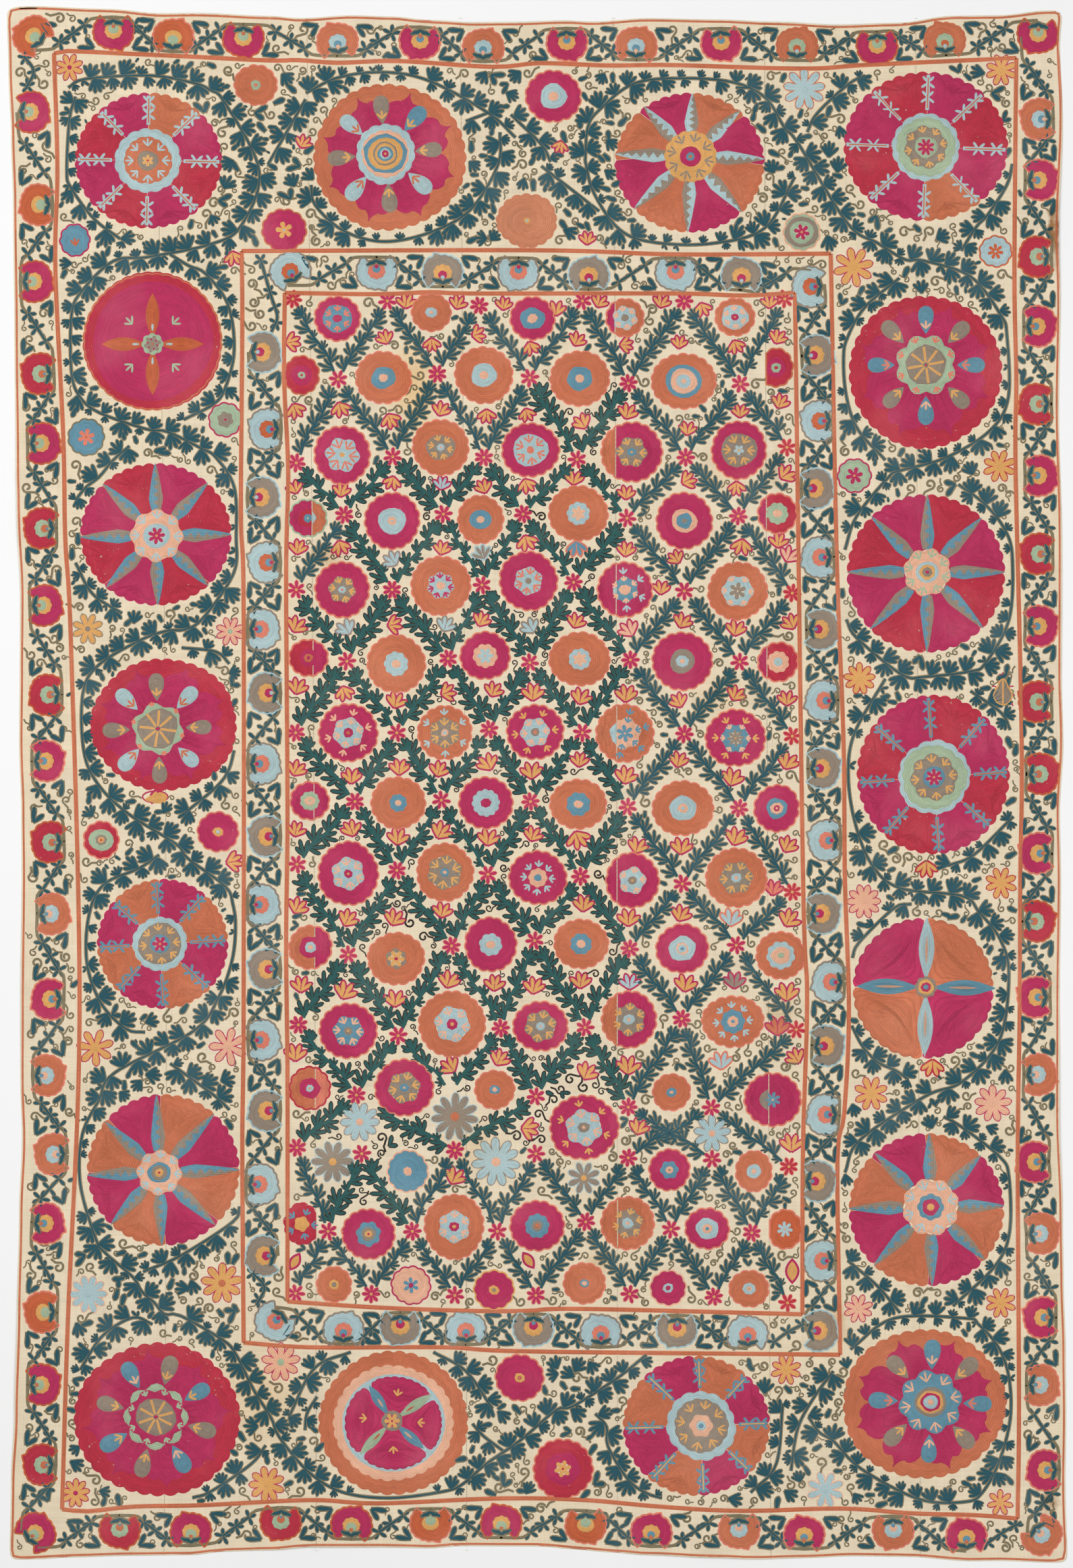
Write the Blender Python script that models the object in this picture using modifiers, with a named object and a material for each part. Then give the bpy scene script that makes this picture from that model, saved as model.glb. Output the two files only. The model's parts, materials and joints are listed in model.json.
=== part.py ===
"""A suzani: a large embroidered cotton cloth, lying flat on a level surface.

The ground is seven strips of hand-loomed cotton, each one loom width across, sewn side to side along
their selvedges. Every strip is its own sheet. The outer edges are turned in and wander by up to about
30 mm, the seams lean a little, and the cloth stands in a few low swells near its edges, where the
embroidery has drawn the ground up. Everywhere else the underside is flat on the surface.

Units are metres and +Z is up. The origin is the middle of the bounding box, on the resting surface.
+Y points to the top of the design, and +X to its right.
"""

import math

import bmesh
import bpy

MM = 0.001

WIDTH = 1831 * MM  # over the widest places of the two long sides
LENGTH = 2688 * MM  # over the furthest places of the two ends
THICKNESS = 2.0 * MM  # cotton ground with the silk stitched through it
SEAM_GAP = 0.3 * MM  # between the selvedges of neighbouring strips
CORNER_RADIUS = 14 * MM  # how round the turned-in corners are

ACROSS = 5  # cells of a strip's grid across one loom width
ALONG = 58  # cells of a strip's grid from bottom to top

# Where a side sits, at stations along it.
# at: distance from the side's left or top end; inset: how far the edge lies inside the bounding box. Both in mm.
TOP_EDGE = (
    # at, inset
    (0, 3), (35, 0), (175, 5), (268, 13), (326, 12.5), (454, 17), (507, 21), (594, 16), (664, 18),
    (734, 24.5), (804, 28.5), (874, 28), (967, 25), (1008, 27), (1107, 21), (1223, 23), (1328, 27.5),
    (1433, 32.5), (1538, 29), (1631, 17), (1712, 16), (1800, 7.5), (1831, 9),
)
BOTTOM_EDGE = (
    # at, inset
    (0, 5), (58, 6), (105, 9), (221, 12), (320, 13), (373, 19), (454, 21.5), (524, 27), (641, 27),
    (734, 25), (781, 28.5), (920, 28), (979, 23), (1037, 18), (1107, 13), (1223, 8.5), (1293, 6),
    (1386, 8), (1456, 11), (1549, 10), (1666, 2.5), (1712, 3), (1806, 0), (1831, 0),
)
LEFT_EDGE = (
    # at, inset
    (0, 0), (106, 2.5), (222, 7), (339, 10.5), (572, 13), (805, 15.5), (875, 17), (1015, 23), (1155, 22),
    (1271, 21), (1388, 24.5), (1504, 25.5), (1737, 23.5), (1853, 23), (1958, 26), (2087, 21), (2261, 17.5),
    (2436, 13), (2552, 7), (2688, 5),
)
RIGHT_EDGE = (
    # at, inset
    (0, 9), (59, 13), (188, 8), (386, 15), (514, 12), (689, 14.5), (921, 9.5), (1155, 10), (1271, 7),
    (1388, 13), (1504, 11), (1737, 13.5), (1912, 14), (2087, 8), (2203, 6.5), (2320, 3), (2436, 2),
    (2552, 3.5), (2688, 0),
)

# Where each seam crosses the top edge, the middle and the bottom edge: mm from the left of the bounding box.
SEAMS = (
    # top, middle, bottom
    (256, 274, 271),
    (518, 530, 534),
    (783, 791, 794),
    (1047, 1053, 1054),
    (1308, 1313, 1319),
    (1569, 1573, 1577),
)

# Low swells where the sheet stands off the surface.
# x, y: middle of the swell from the origin; reach_x, reach_y: half its size; height: at its middle. All in mm.
SWELLS = (
    # x, y, reach_x, reach_y, height
    (-590, 1250, 150, 210, 3.0),
    (-60, 1235, 220, 190, 3.5),
    (470, 1240, 190, 200, 2.6),
    (845, 960, 170, 240, 3.2),
    (835, 330, 150, 250, 2.2),
    (850, -560, 160, 260, 3.0),
    (-830, 480, 160, 260, 3.4),
    (-815, -330, 150, 230, 2.4),
    (-850, -1010, 180, 230, 2.8),
    (-350, -1265, 230, 180, 3.2),
    (300, -1270, 210, 190, 3.6),
)

COTTON_COLOUR = (0.78, 0.68, 0.51, 1.0)
COTTON_ROUGHNESS = 0.88

LEFT = -WIDTH / 2
TOP = LENGTH / 2


def ease(t):
    """A share from 0 to 1, with a level start and end."""
    return t * t * (3 - 2 * t)


def inset_at(edge, distance):
    """How far inside the bounding box a side lies, this far along it, in metres."""
    at = min(max(distance / MM, edge[0][0]), edge[-1][0])
    for (start, low), (end, high) in zip(edge, edge[1:]):
        if at <= end:
            return (low + (high - low) * ease((at - start) / (end - start))) * MM
    return edge[-1][1] * MM


def seam_at(seam, share):
    """A seam's x this share of the way up the cloth, on the parabola through its three named places."""
    top, middle, bottom = seam
    bow = middle - (top + bottom) / 2
    from_left = bottom + (top - bottom) * share + bow * 4 * share * (1 - share)
    return LEFT + from_left * MM


def side_at(number, share):
    """The x of the line between strips number - 1 and number: a seam, or one of the cloth's two long sides."""
    from_top = LENGTH * (1 - share)
    if number == 0:
        return LEFT + inset_at(LEFT_EDGE, from_top)
    if number > len(SEAMS):
        return -LEFT - inset_at(RIGHT_EDGE, from_top)
    return seam_at(SEAMS[number - 1], share)


def rounded(across, along):
    """Takes a point near a square corner to the round one. Both are 0 a radius away from a side and 1 on it."""
    return across * math.sqrt(1 - along**2 / 2), along * math.sqrt(1 - across**2 / 2)


def lift_at(x, y):
    """The height of the sheet's underside above the surface."""
    height = 0.0
    for middle_x, middle_y, reach_x, reach_y, top in SWELLS:
        away = math.hypot((x / MM - middle_x) / reach_x, (y / MM - middle_y) / reach_y)
        if away < 1:
            height = max(height, top * ease(1 - away))
    return height * MM


def place(across, share, number):
    """The point of strip number this share of the way across it and up it."""
    left = side_at(number, share) + (SEAM_GAP / 2 if number else 0)
    right = side_at(number + 1, share) - (SEAM_GAP / 2 if number < len(SEAMS) else 0)
    x = left + (right - left) * across
    top = TOP - inset_at(TOP_EDGE, x - LEFT)
    bottom = -TOP + inset_at(BOTTOM_EDGE, x - LEFT)
    y = bottom + (top - bottom) * share
    end_side = 1 if x > 0 else -1
    end = side_at(len(SEAMS) + 1 if x > 0 else 0, share)
    near_side = max(1 - abs(end - x) / CORNER_RADIUS, 0)
    near_end = max(1 - min(top - y, y - bottom) / CORNER_RADIUS, 0)
    if near_side and near_end:
        new_side, new_end = rounded(near_side, near_end)
        x -= end_side * (near_side - new_side) * CORNER_RADIUS
        y -= (1 if share > 0.5 else -1) * (near_end - new_end) * CORNER_RADIUS
    return x, y, lift_at(x, y)


def cotton():
    """Unbleached hand-loomed cotton, matt and a little yellow with age."""
    material = bpy.data.materials.new("cotton_ground")
    material.use_nodes = True
    shader = material.node_tree.nodes["Principled BSDF"]
    shader.inputs["Base Color"].default_value = COTTON_COLOUR
    shader.inputs["Roughness"].default_value = COTTON_ROUGHNESS
    shader.inputs["Metallic"].default_value = 0.0
    material.diffuse_color = COTTON_COLOUR
    return material


def strip(number, collection, material):
    """One loom width of cloth: a grid laid to the strip's own outline, and given its thickness."""
    shape = bmesh.new()
    bmesh.ops.create_grid(shape, x_segments=ACROSS, y_segments=ALONG, size=0.5)
    for vertex in shape.verts:
        vertex.co = place(vertex.co.x + 0.5, vertex.co.y + 0.5, number)
    name = f"cloth_strip_{number + 1}"
    mesh = bpy.data.meshes.new(name)
    shape.to_mesh(mesh)
    shape.free()
    mesh.materials.append(material)
    sheet = bpy.data.objects.new(name, mesh)
    collection.objects.link(sheet)
    body = sheet.modifiers.new("thickness", "SOLIDIFY")
    body.thickness = THICKNESS
    body.offset = 1.0
    return sheet


def main():
    for old in list(bpy.data.objects):
        bpy.data.objects.remove(old, do_unlink=True)
    collection = bpy.data.collections.new("suzani")
    bpy.context.scene.collection.children.link(collection)
    material = cotton()
    for number in range(len(SEAMS) + 1):
        strip(number, collection, material)


main()
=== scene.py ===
import collections
import json
import math
import random
import re

import bmesh
import bpy
import numpy as np
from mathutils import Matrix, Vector

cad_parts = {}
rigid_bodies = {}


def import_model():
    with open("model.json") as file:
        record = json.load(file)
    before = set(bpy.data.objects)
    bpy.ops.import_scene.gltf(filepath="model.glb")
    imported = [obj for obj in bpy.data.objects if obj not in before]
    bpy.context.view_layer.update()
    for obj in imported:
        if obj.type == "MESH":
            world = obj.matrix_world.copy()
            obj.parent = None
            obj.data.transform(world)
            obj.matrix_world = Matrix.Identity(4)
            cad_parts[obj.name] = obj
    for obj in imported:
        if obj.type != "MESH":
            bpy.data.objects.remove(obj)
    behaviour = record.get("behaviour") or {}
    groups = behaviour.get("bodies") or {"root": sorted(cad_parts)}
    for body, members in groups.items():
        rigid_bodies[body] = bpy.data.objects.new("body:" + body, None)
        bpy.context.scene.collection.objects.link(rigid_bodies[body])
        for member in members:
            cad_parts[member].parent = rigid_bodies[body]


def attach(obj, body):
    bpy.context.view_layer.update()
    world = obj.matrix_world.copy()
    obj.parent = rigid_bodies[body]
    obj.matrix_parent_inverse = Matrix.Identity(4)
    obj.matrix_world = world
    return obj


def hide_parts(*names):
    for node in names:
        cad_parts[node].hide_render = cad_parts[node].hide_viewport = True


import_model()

__doc__ = """A suzani: a cotton cloth of seven loom widths, embroidered in silk chain stitch, laid flat.

The design is charted in squares, CHART metres a side. Each square is a pixel of the photo, counted from its
top left corner, x to the right and y down. Threads are named by the letters of KEY. Every piece
of stitching is a low relief on the cloth, and carries a colour, "dye", and its place in the rows of stitches,
"rows": metres along the row and metres across the rows. The silk material draws the stitches from these.
"""

bl_info = {
    "name": "Suzani embroidery",
    "version": (1, 0, 0),
    "blender": (4, 5, 0),
    "location": "3D View > Sidebar > Suzani",
    "description": "Lays the cotton strips of a suzani and works its embroidery",
    "category": "Object",
}

MM = 0.001
CHART = 1.165 * MM  # a side of one square of the chart, which is a pixel of the photo
MIDDLE_X, MIDDLE_Y = 796.0, 1162.5  # the square over the origin
WIDE, HIGH = 1590, 2324  # the chart's size in squares, the photo's in pixels

# The cloth's outline, seams and swells, as in the solids. All in mm.
WIDTH, LENGTH = 1831 * MM, 2688 * MM
CORNER_RADIUS = 14 * MM
LEFT, TOP = -WIDTH / 2, LENGTH / 2
# at: distance from the side's left or top end; inset: how far the edge lies inside the bounding box
TOP_EDGE = (
    # at, inset
    (0, 3), (35, 0), (175, 5), (268, 13), (326, 12.5), (454, 17), (507, 21), (594, 16), (664, 18),
    (734, 24.5), (804, 28.5), (874, 28), (967, 25), (1008, 27), (1107, 21), (1223, 23), (1328, 27.5),
    (1433, 32.5), (1538, 29), (1631, 17), (1712, 16), (1800, 7.5), (1831, 9),
)
BOTTOM_EDGE = (
    # at, inset
    (0, 5), (58, 6), (105, 9), (221, 12), (320, 13), (373, 19), (454, 21.5), (524, 27), (641, 27),
    (734, 25), (781, 28.5), (920, 28), (979, 23), (1037, 18), (1107, 13), (1223, 8.5), (1293, 6),
    (1386, 8), (1456, 11), (1549, 10), (1666, 2.5), (1712, 3), (1806, 0), (1831, 0),
)
LEFT_EDGE = (
    # at, inset
    (0, 0), (106, 2.5), (222, 7), (339, 10.5), (572, 13), (805, 15.5), (875, 17), (1015, 23), (1155, 22),
    (1271, 21), (1388, 24.5), (1504, 25.5), (1737, 23.5), (1853, 23), (1958, 26), (2087, 21), (2261, 17.5),
    (2436, 13), (2552, 7), (2688, 5),
)
RIGHT_EDGE = (
    # at, inset
    (0, 9), (59, 13), (188, 8), (386, 15), (514, 12), (689, 14.5), (921, 9.5), (1155, 10), (1271, 7),
    (1388, 13), (1504, 11), (1737, 13.5), (1912, 14), (2087, 8), (2203, 6.5), (2320, 3), (2436, 2),
    (2552, 3.5), (2688, 0),
)
SEAMS = (
    # where it crosses the top edge, the middle and the bottom edge, from the left of the bounding box
    (256, 274, 271), (518, 530, 534), (783, 791, 794), (1047, 1053, 1054), (1308, 1313, 1319),
    (1569, 1573, 1577),
)
SWELLS = (
    # x, y, reach_x, reach_y, height
    (-590, 1250, 150, 210, 3.0), (-60, 1235, 220, 190, 3.5), (470, 1240, 190, 200, 2.6),
    (845, 960, 170, 240, 3.2), (835, 330, 150, 250, 2.2), (850, -560, 160, 260, 3.0),
    (-830, 480, 160, 260, 3.4), (-815, -330, 150, 230, 2.4), (-850, -1010, 180, 230, 2.8),
    (-350, -1265, 230, 180, 3.2), (300, -1270, 210, 190, 3.6),
)

# The threads. A letter in a chart means this silk.
KEY = {
    "M": "magenta", "C": "crimson", "O": "orange", "R": "rust", "S": "salmon", "Y": "yellow",
    "L": "light_blue", "B": "blue", "G": "pale_green", "T": "taupe", "P": "peach", "K": "khaki",
    "E": "teal", "A": "apricot", "N": "black_brown", "U": "pale_taupe", "D": "deep_teal",
    "W": "cotton_thread",
}

# The four frames of orange chain stitch, as lines through charted places.
# The outermost follows the cloth's edge. line: clockwise from the top left corner.
FRAMES = (
    ((80, 79), (100, 75.5), (380, 89), (440, 89), (500, 93), (590, 90.5), (730, 99.5), (800, 94),
     (900, 97), (1000, 96.5), (1190, 102), (1290, 96), (1506, 86)),
    ((1506, 86), (1503, 400), (1506, 560), (1505, 700), (1514, 1100), (1512, 1300), (1511, 1500),
     (1508, 1700), (1510, 2080), (1508, 2251)),
    ((1508, 2251), (1450, 2246), (1350, 2243), (1250, 2236), (1100, 2239), (980, 2233), (860, 2223),
     (740, 2221), (560, 2228), (460, 2223), (300, 2231), (200, 2233), (130, 2240), (92, 2237)),
    ((92, 2237), (101, 1950), (118, 1500), (105, 950), (97, 800), (94, 650), (82, 400), (85, 250),
     (80, 79)),
    ((358, 372), (800, 371), (1000, 377), (1231, 376)),
    ((1231, 376), (1240, 830), (1250, 1100), (1252, 1300), (1258, 1500), (1251, 1650), (1241, 1720),
     (1245, 2008)),
    ((1245, 2008), (780, 2003), (660, 1997), (460, 1997), (361, 1990)),
    ((361, 1990), (359, 1700), (361, 1500), (361, 900), (357, 760), (359, 480), (358, 372)),
    ((422, 434), (560, 436), (640, 433), (700, 435), (1000, 435), (1100, 438), (1178, 434)),
    ((1178, 434), (1190, 1300), (1196, 1480), (1190, 1700), (1189, 1948)),
    ((1189, 1948), (860, 1940), (780, 1943), (700, 1943), (560, 1938), (426, 1929)),
    ((426, 1929), (426, 1600), (424, 1400), (426, 1200), (424, 850), (427, 700), (421, 560), (422, 434)),
)

# The big medallions of the main border, by kind.
# x, y, rx, ry: middle and half size; hub_x, hub_y: middle of the hub; turn: degrees clockwise;
# bands: the wedges clockwise from the top, or the discs from the rim inwards; spokes: their threads;
# hub: see marks_of
MEDALLIONS = (
    # kind, x, y, rx, ry, hub_x, hub_y, turn, bands, spokes, hub
    ("sprigs", 220, 238, 110, 101, 219, 238, 1, "OMCMCMCM", "LO", "L50 O37*L T17 Y9^6 C3"),
    ("tears", 577, 233, 114, 109, 571, 228, -5, "OM", "TBTLTLTL", "L46 P37 B33 Y27 T20 Y17 B13 L10 M7 Y3"),
    ("pinwheel", 1022, 241, 112, 104, 1023, 232, 2, "OMOMOMOM", "TL", "Y40*T M17 B8 O4"),
    ("sprigs", 1372, 217, 123, 111, 1372, 218, 2, "MCMOMCMC", "LO", "L52 G46 T35^8*Y G18 M13^8 Y3"),
    ("cross", 226, 506, 104, 103, 226, 510, 0, "OCM", "R", "G18^8 T13^6 O3"),
    ("pinwheel", 231, 792, 113, 106, 232, 794, -1, "MCMCMCMC", "TB", "P42^8*L L21 M13^7 Y3"),
    ("tears", 243, 1074, 110, 98, 234, 1080, -2, "CM", "TLTLTLTL", "G43^6*S T32 |Y30 M4"),
    ("sprigs", 241, 1399, 98, 97, 237, 1399, -3, "MOMOMOMO", "BO", "L42 T34*Y B16 M12^6 Y3"),
    ("pinwheel", 242, 1734, 114, 113, 236, 1738, -2, "OMOMOMOM", "TB", "P36^8*L B18 T13 Y8 M3"),
    ("tears", 233, 2104, 123, 115, 231, 2100, 15, "CM", "TBTBTBTB", "G51^8 M45^8*G T31 |Y29 M4"),
    ("rings", 583, 2109, 112, 107, 581, 2106, 0, "OPLM", "GBGB", "T17 Y12^6 M3"),
    ("sprigs", 1032, 2113, 110, 104, 1039, 2113, -2, "OMOMOMOM", "BY", "L53 T42*Y P20^6 L9 B5"),
    ("tears", 1371, 551, 114, 114, 1372, 541, 0, "CM", "BTBTBTBT", "G48^8*S T32 |Y30 C3"),
    ("pinwheel", 1372, 850, 118, 118, 1374, 848, 0, "CMCMCMCM", "BT", "P38^8*G L18 Y13 T9 M4"),
    ("sprigs", 1383, 1148, 114, 119, 1384, 1152, -4, "CMCMCMCM", "BO", "L56 G50 T38^8*Y B18 M13^7 Y3"),
    ("quarters", 1368, 1465, 105, 105, 1372, 1463, 1, "OMOM", "LBLB", "T18^8 Y13 M9 B5"),
    ("pinwheel", 1373, 1793, 116, 114, 1379, 1789, -1, "OMOMOMOM", "TB", "P45^8*L B22^8 M14 Y7"),
    ("tears", 1369, 2081, 121, 112, 1379, 2078, 2, "OM", "BTBTBTBT", "B50^8*P T25 Y20 M16 L12 P6"),
)

# The rosettes of the centre field, then the plain ones in the main border: x y rx ry body edge centre.
# body: its thread, or two where a seam runs through, left of it and right of it, with a point for none;
# edge: the outline row; centre: see marks_of.
ROSETTES = """
    500 472 35 34 M S B23*S M8; 639 463 30 29 O S L10 P4; 789 472 34 33 M S B19 P9;
    926 471 29 29 MO S L21^6*P T7; 1089 470 30 29 O S L21*P M7 Y2; 447 556 27 30 C O M17 G7 C3;
    568 560 42 39 O S B19 P8; 717 556 44 42 O S L20 P8; 859 561 45 41 O S B20 P8;
    1013 565 49 41 O S B28 P21 L12 P5; 1150 545 26 30 .C O M16 G9 C4; 507 674 42 44 .M S L29^6*S Y5;
    653 663 42 42 O S T22*Y L7 P3; 786 667 43 41 M S L27*S S7; 936 670 46 45 OM S T26^6*Y B8 Y3;
    1095 667 41 44 M S T28*Y L8^5 Y3; 456 768 30 28 MO G C15 B8 G3/L13; 581 772 42 42 M S L22 P8 L3;
    712 770 35 36 O S B17 P7; 857 761 45 41 O S L19^9 P11^6; 1014 772 43 42 M S P20 B13 T5;
    1152 761 30 31 MC S G18^9 P8; 507 874 41 42 .M S T23^6*Y L7 S3; 653 868 45 44 O S L22^7*M P8;
    783 861 44 44 M S L24^6*S T6; 926 874 42 41 MM S L19/B23^6*P+L P10;
    1093 876 45 43 O S L27^6*P T13^6; 457 975 30 28 CM S M14 O8 M4; 587 984 44 43 O S L20^9 P8;
    719 972 38 36 M S P20^9 L12^6 P2; 859 977 46 40 O S L18^9 P11^6; 1011 980 46 43 M S T20 L11 P5;
    1153 981 31 30 MC S P18^9 L8 G3; 516 1086 44 44 M S L26^6*P+P M9 O4;
    659 1086 41 40 O S T26^6*Y+L P7 L4; 793 1085 43 41 M S L25^6*P+Y T8 S4;
    926 1087 43 44 OO S L23/P28^6*B+B B13^6; 1090 1094 46 42 M S B25^6*P+Y T13^8 Y2;
    459 1187 30 29 MM S G16^9 P9 G3; 590 1190 41 39 O S B15^8 P6; 720 1190 41 39 M S L22^12 M9;
    857 1192 43 37 O S B20^8 P8; 1012 1198 46 41 O S L21 P9 L4; 1151 1198 34 36 M S B17 P11 M6 P3;
    516 1295 45 48 M S L28^6*P M8 Y3; 659 1293 43 43 O S T29^6*Y B8 P4; 797 1301 44 40 M S P16^8+L B7;
    937 1305 40 42 MM S /L24^5*P T8 Y3; 1091 1301 46 44 O S T28^6*Y L9 P4;
    460 1404 33 33 OM S M18 L10 P5; 587 1421 43 39 O S T18^6 Y13^6 M4; 727 1400 39 41 M S L19^8 P8;
    861 1399 41 37 O S B18^8 P8; 1011 1406 40 37 M S L21 P11 L8 B4; 1157 1416 37 36 O S L23^9 P15 G6;
    516 1528 44 41 M S B26^6*P T8 Y3; 670 1518 50 49 O S L30^6*P M10 Y4;
    801 1521 42 37 M S T27^6*Y L8 P3; 932 1511 41 43 OM S L19*S/T28^6*Y L10 P4;
    1086 1514 47 38 O S B20^8+L P10 B4; 459 1613 31 33 OS C M17 L7 Y3; 599 1612 44 43 M S T27^6*Y B8 P3;
    733 1615 31 29 O S B9 P5; 865 1671 52 48 M S L31^6*P+Y T10 P4; 995 1619 29 28 O S B9 P4;
    1145 1630 43 40 MM S T20*Y/B12^7 P3; 604 1736 31 32 B P P8; 992 1734 31 32 M S B16^6 P7 T3;
    1117 1736 27 32 O S L12 P5; 447 1814 26 32 C. C Y14^5+B; 546 1829 40 38 M S B21^7 T12 Y7 M3;
    673 1818 45 48 O S L27^6*P M9 Y4; 796 1817 41 38 M S B20^9 T10 O5;
    930 1813 40 40 OO S L16*S/T26^6*Y L10 P4; 1048 1821 34 31 M S L18 P9 B4;
    1163 1822 26 31 .R S L12^7 P2; 495 1904 27 27 .O S Y9 T5; 609 1905 30 29 P M B12^6 M5;
    732 1912 31 30 M Y Y9 T4; 866 1902 32 31 O S B8 P5; 990 1909 28 27 M P L9 M5;
    1110 1910 30 28 O S L11 P5 T2; 379 126 33 30 O S G9 S4; 820 143 42 39 M S L21 P9;
    781 327 45 40 A A Y6 L3; 421 341 34 32 M O Y13^5 L3; 334 622 26 26 G M T14^6 M3;
    128 648 28 28 B K S13^6 O3; 1188 344 28 29 G P T26 G19 M12^6 Y3; 1475 373 25 24 L R R12^7 L3;
    1266 705 26 26 G M M13^6 Y3; 150 1245 27 29 C S G19 T10 Y6 C3; 323 1233 32 30 M S Y9 L4;
    770 2042 37 35 M S Y9 M4 Y2; 834 2177 45 45 C S M27 Y13^6 C3"""

# The seven-petalled florets where the bands of the lattice cross: x, y.
FLORETS = (
    (574, 446), (710, 453), (863, 446), (1014, 446), (501, 562), (648, 554), (785, 560), (931, 568),
    (1097, 569), (439, 686), (582, 677), (717, 678), (855, 681), (1016, 678), (1166, 663), (510, 763),
    (657, 762), (775, 762), (929, 768), (1094, 765), (439, 874), (581, 874), (714, 867), (850, 863),
    (1014, 876), (1174, 879), (514, 980), (664, 976), (785, 982), (934, 978), (1096, 981), (438, 1086),
    (588, 1086), (725, 1081), (863, 1086), (1014, 1088), (1174, 1091), (526, 1188), (654, 1186),
    (786, 1188), (930, 1196), (1095, 1198), (440, 1281), (588, 1290), (723, 1296), (860, 1299),
    (1011, 1310), (1174, 1322), (516, 1415), (669, 1402), (792, 1394), (933, 1406), (1091, 1401),
    (442, 1519), (590, 1535), (742, 1524), (867, 1523), (1010, 1510), (1180, 1526), (528, 1623),
    (794, 1625), (931, 1641), (1054, 1642), (440, 1701), (536, 1710), (674, 1705), (794, 1710),
    (931, 1716), (1055, 1718), (1169, 1729), (486, 1825), (611, 1825), (737, 1825), (868, 1811),
    (994, 1822), (1114, 1827), (438, 1917), (550, 1918), (674, 1920), (794, 1920), (933, 1918),
    (1058, 1922), (1167, 1931), (434, 443), (1163, 443),
)
# where two ferns meet or one ends without a floret
BARE_FOOT, BARE_HEAD = (668, 1618), (549, 1638)

# The tulips of the centre field, by the way they open, degrees clockwise from up: it is between the two.
TULIPS = (
    # least and greatest way, and where they are
    (0, 30, (
        (602, 446), (679, 448), (747, 450), (824, 457), (889, 446), (981, 446), (1140, 447), (856, 503),
        (1007, 507), (1153, 499), (654, 606), (931, 610), (1019, 635), (1097, 609), (1157, 595),
        (506, 726), (851, 708), (928, 730), (442, 811), (655, 812), (928, 814), (1154, 801), (440, 926),
        (714, 918), (854, 920), (1012, 920), (1091, 931), (980, 871), (441, 1017), (587, 1038),
        (732, 1022), (790, 1026), (861, 1032), (928, 1028), (1091, 1028), (1166, 1035), (440, 1139),
        (521, 1150), (592, 1137), (651, 1140), (788, 1142), (859, 1126), (928, 1149), (1006, 1126),
        (1086, 1152), (1168, 1128), (439, 1229), (590, 1240), (654, 1231), (724, 1241), (790, 1236),
        (945, 1253), (1010, 1254), (1091, 1240), (1168, 1252), (442, 1343), (516, 1361), (585, 1360),
        (656, 1349), (865, 1339), (931, 1360), (1010, 1354), (1170, 1361), (446, 1459), (512, 1468),
        (586, 1480), (666, 1452), (733, 1457), (792, 1461), (861, 1453), (1016, 1457), (1166, 1470),
        (438, 1560), (741, 1568), (870, 1588), (931, 1579), (947, 1670), (1173, 1694), (674, 1743),
        (871, 353), (450, 210),
    )),
    (322, 342, (
        (570, 500), (862, 625), (436, 722), (716, 721), (1001, 826), (1171, 922), (1005, 1038),
        (722, 1130), (520, 1228), (666, 1579), (1178, 1566),
    )),
    (155, 195, (
        (1041, 459), (640, 511), (787, 516), (1091, 514), (438, 609), (505, 607), (579, 624), (721, 617),
        (781, 615), (581, 716), (781, 720), (1091, 724), (505, 812), (781, 805), (1099, 811), (510, 1028),
        (857, 1245), (830, 218), (346, 383),
    )),
    (40, 110, (
        (434, 507), (709, 495), (928, 511), (1020, 711), (1166, 702), (585, 926), (664, 1026),
        (785, 1673), (347, 1277),
    )),
)
ODD_TULIPS = (
    # x, y, way, petals, edge
    (655, 716, 10, "L", "M"), (580, 829, 320, "L", "U"), (714, 819, 340, "T", "L"),
    (854, 813, 180, "B", "S"), (1171, 822, 30, "P", "M"), (512, 930, 330, "L", "U"),
    (661, 925, 20, "L", "T"), (785, 928, 330, "L", "T"), (931, 932, 330, "P", "M"),
    (1084, 1360, 10, "L", "S"), (1146, 1316, 10, "S", "M"), (933, 1455, 0, "L", "M"),
    (1088, 1453, 0, "T", "M"), (1152, 1521, 0, "O", "M"), (1069, 1572, 0, "L", "S"),
    (1373, 1288, 180, "Y", "C"), (1382, 1583, 180, "Y", "C"),
)

# Drop-shaped leaves, yellow in a magenta line.
BOTEHS = (
    # x, y, way, length
    (229, 1180, 20, 27), (437, 1870, 30, 32), (783, 1868, 145, 32), (1174, 1884, 0, 40),
)

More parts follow.
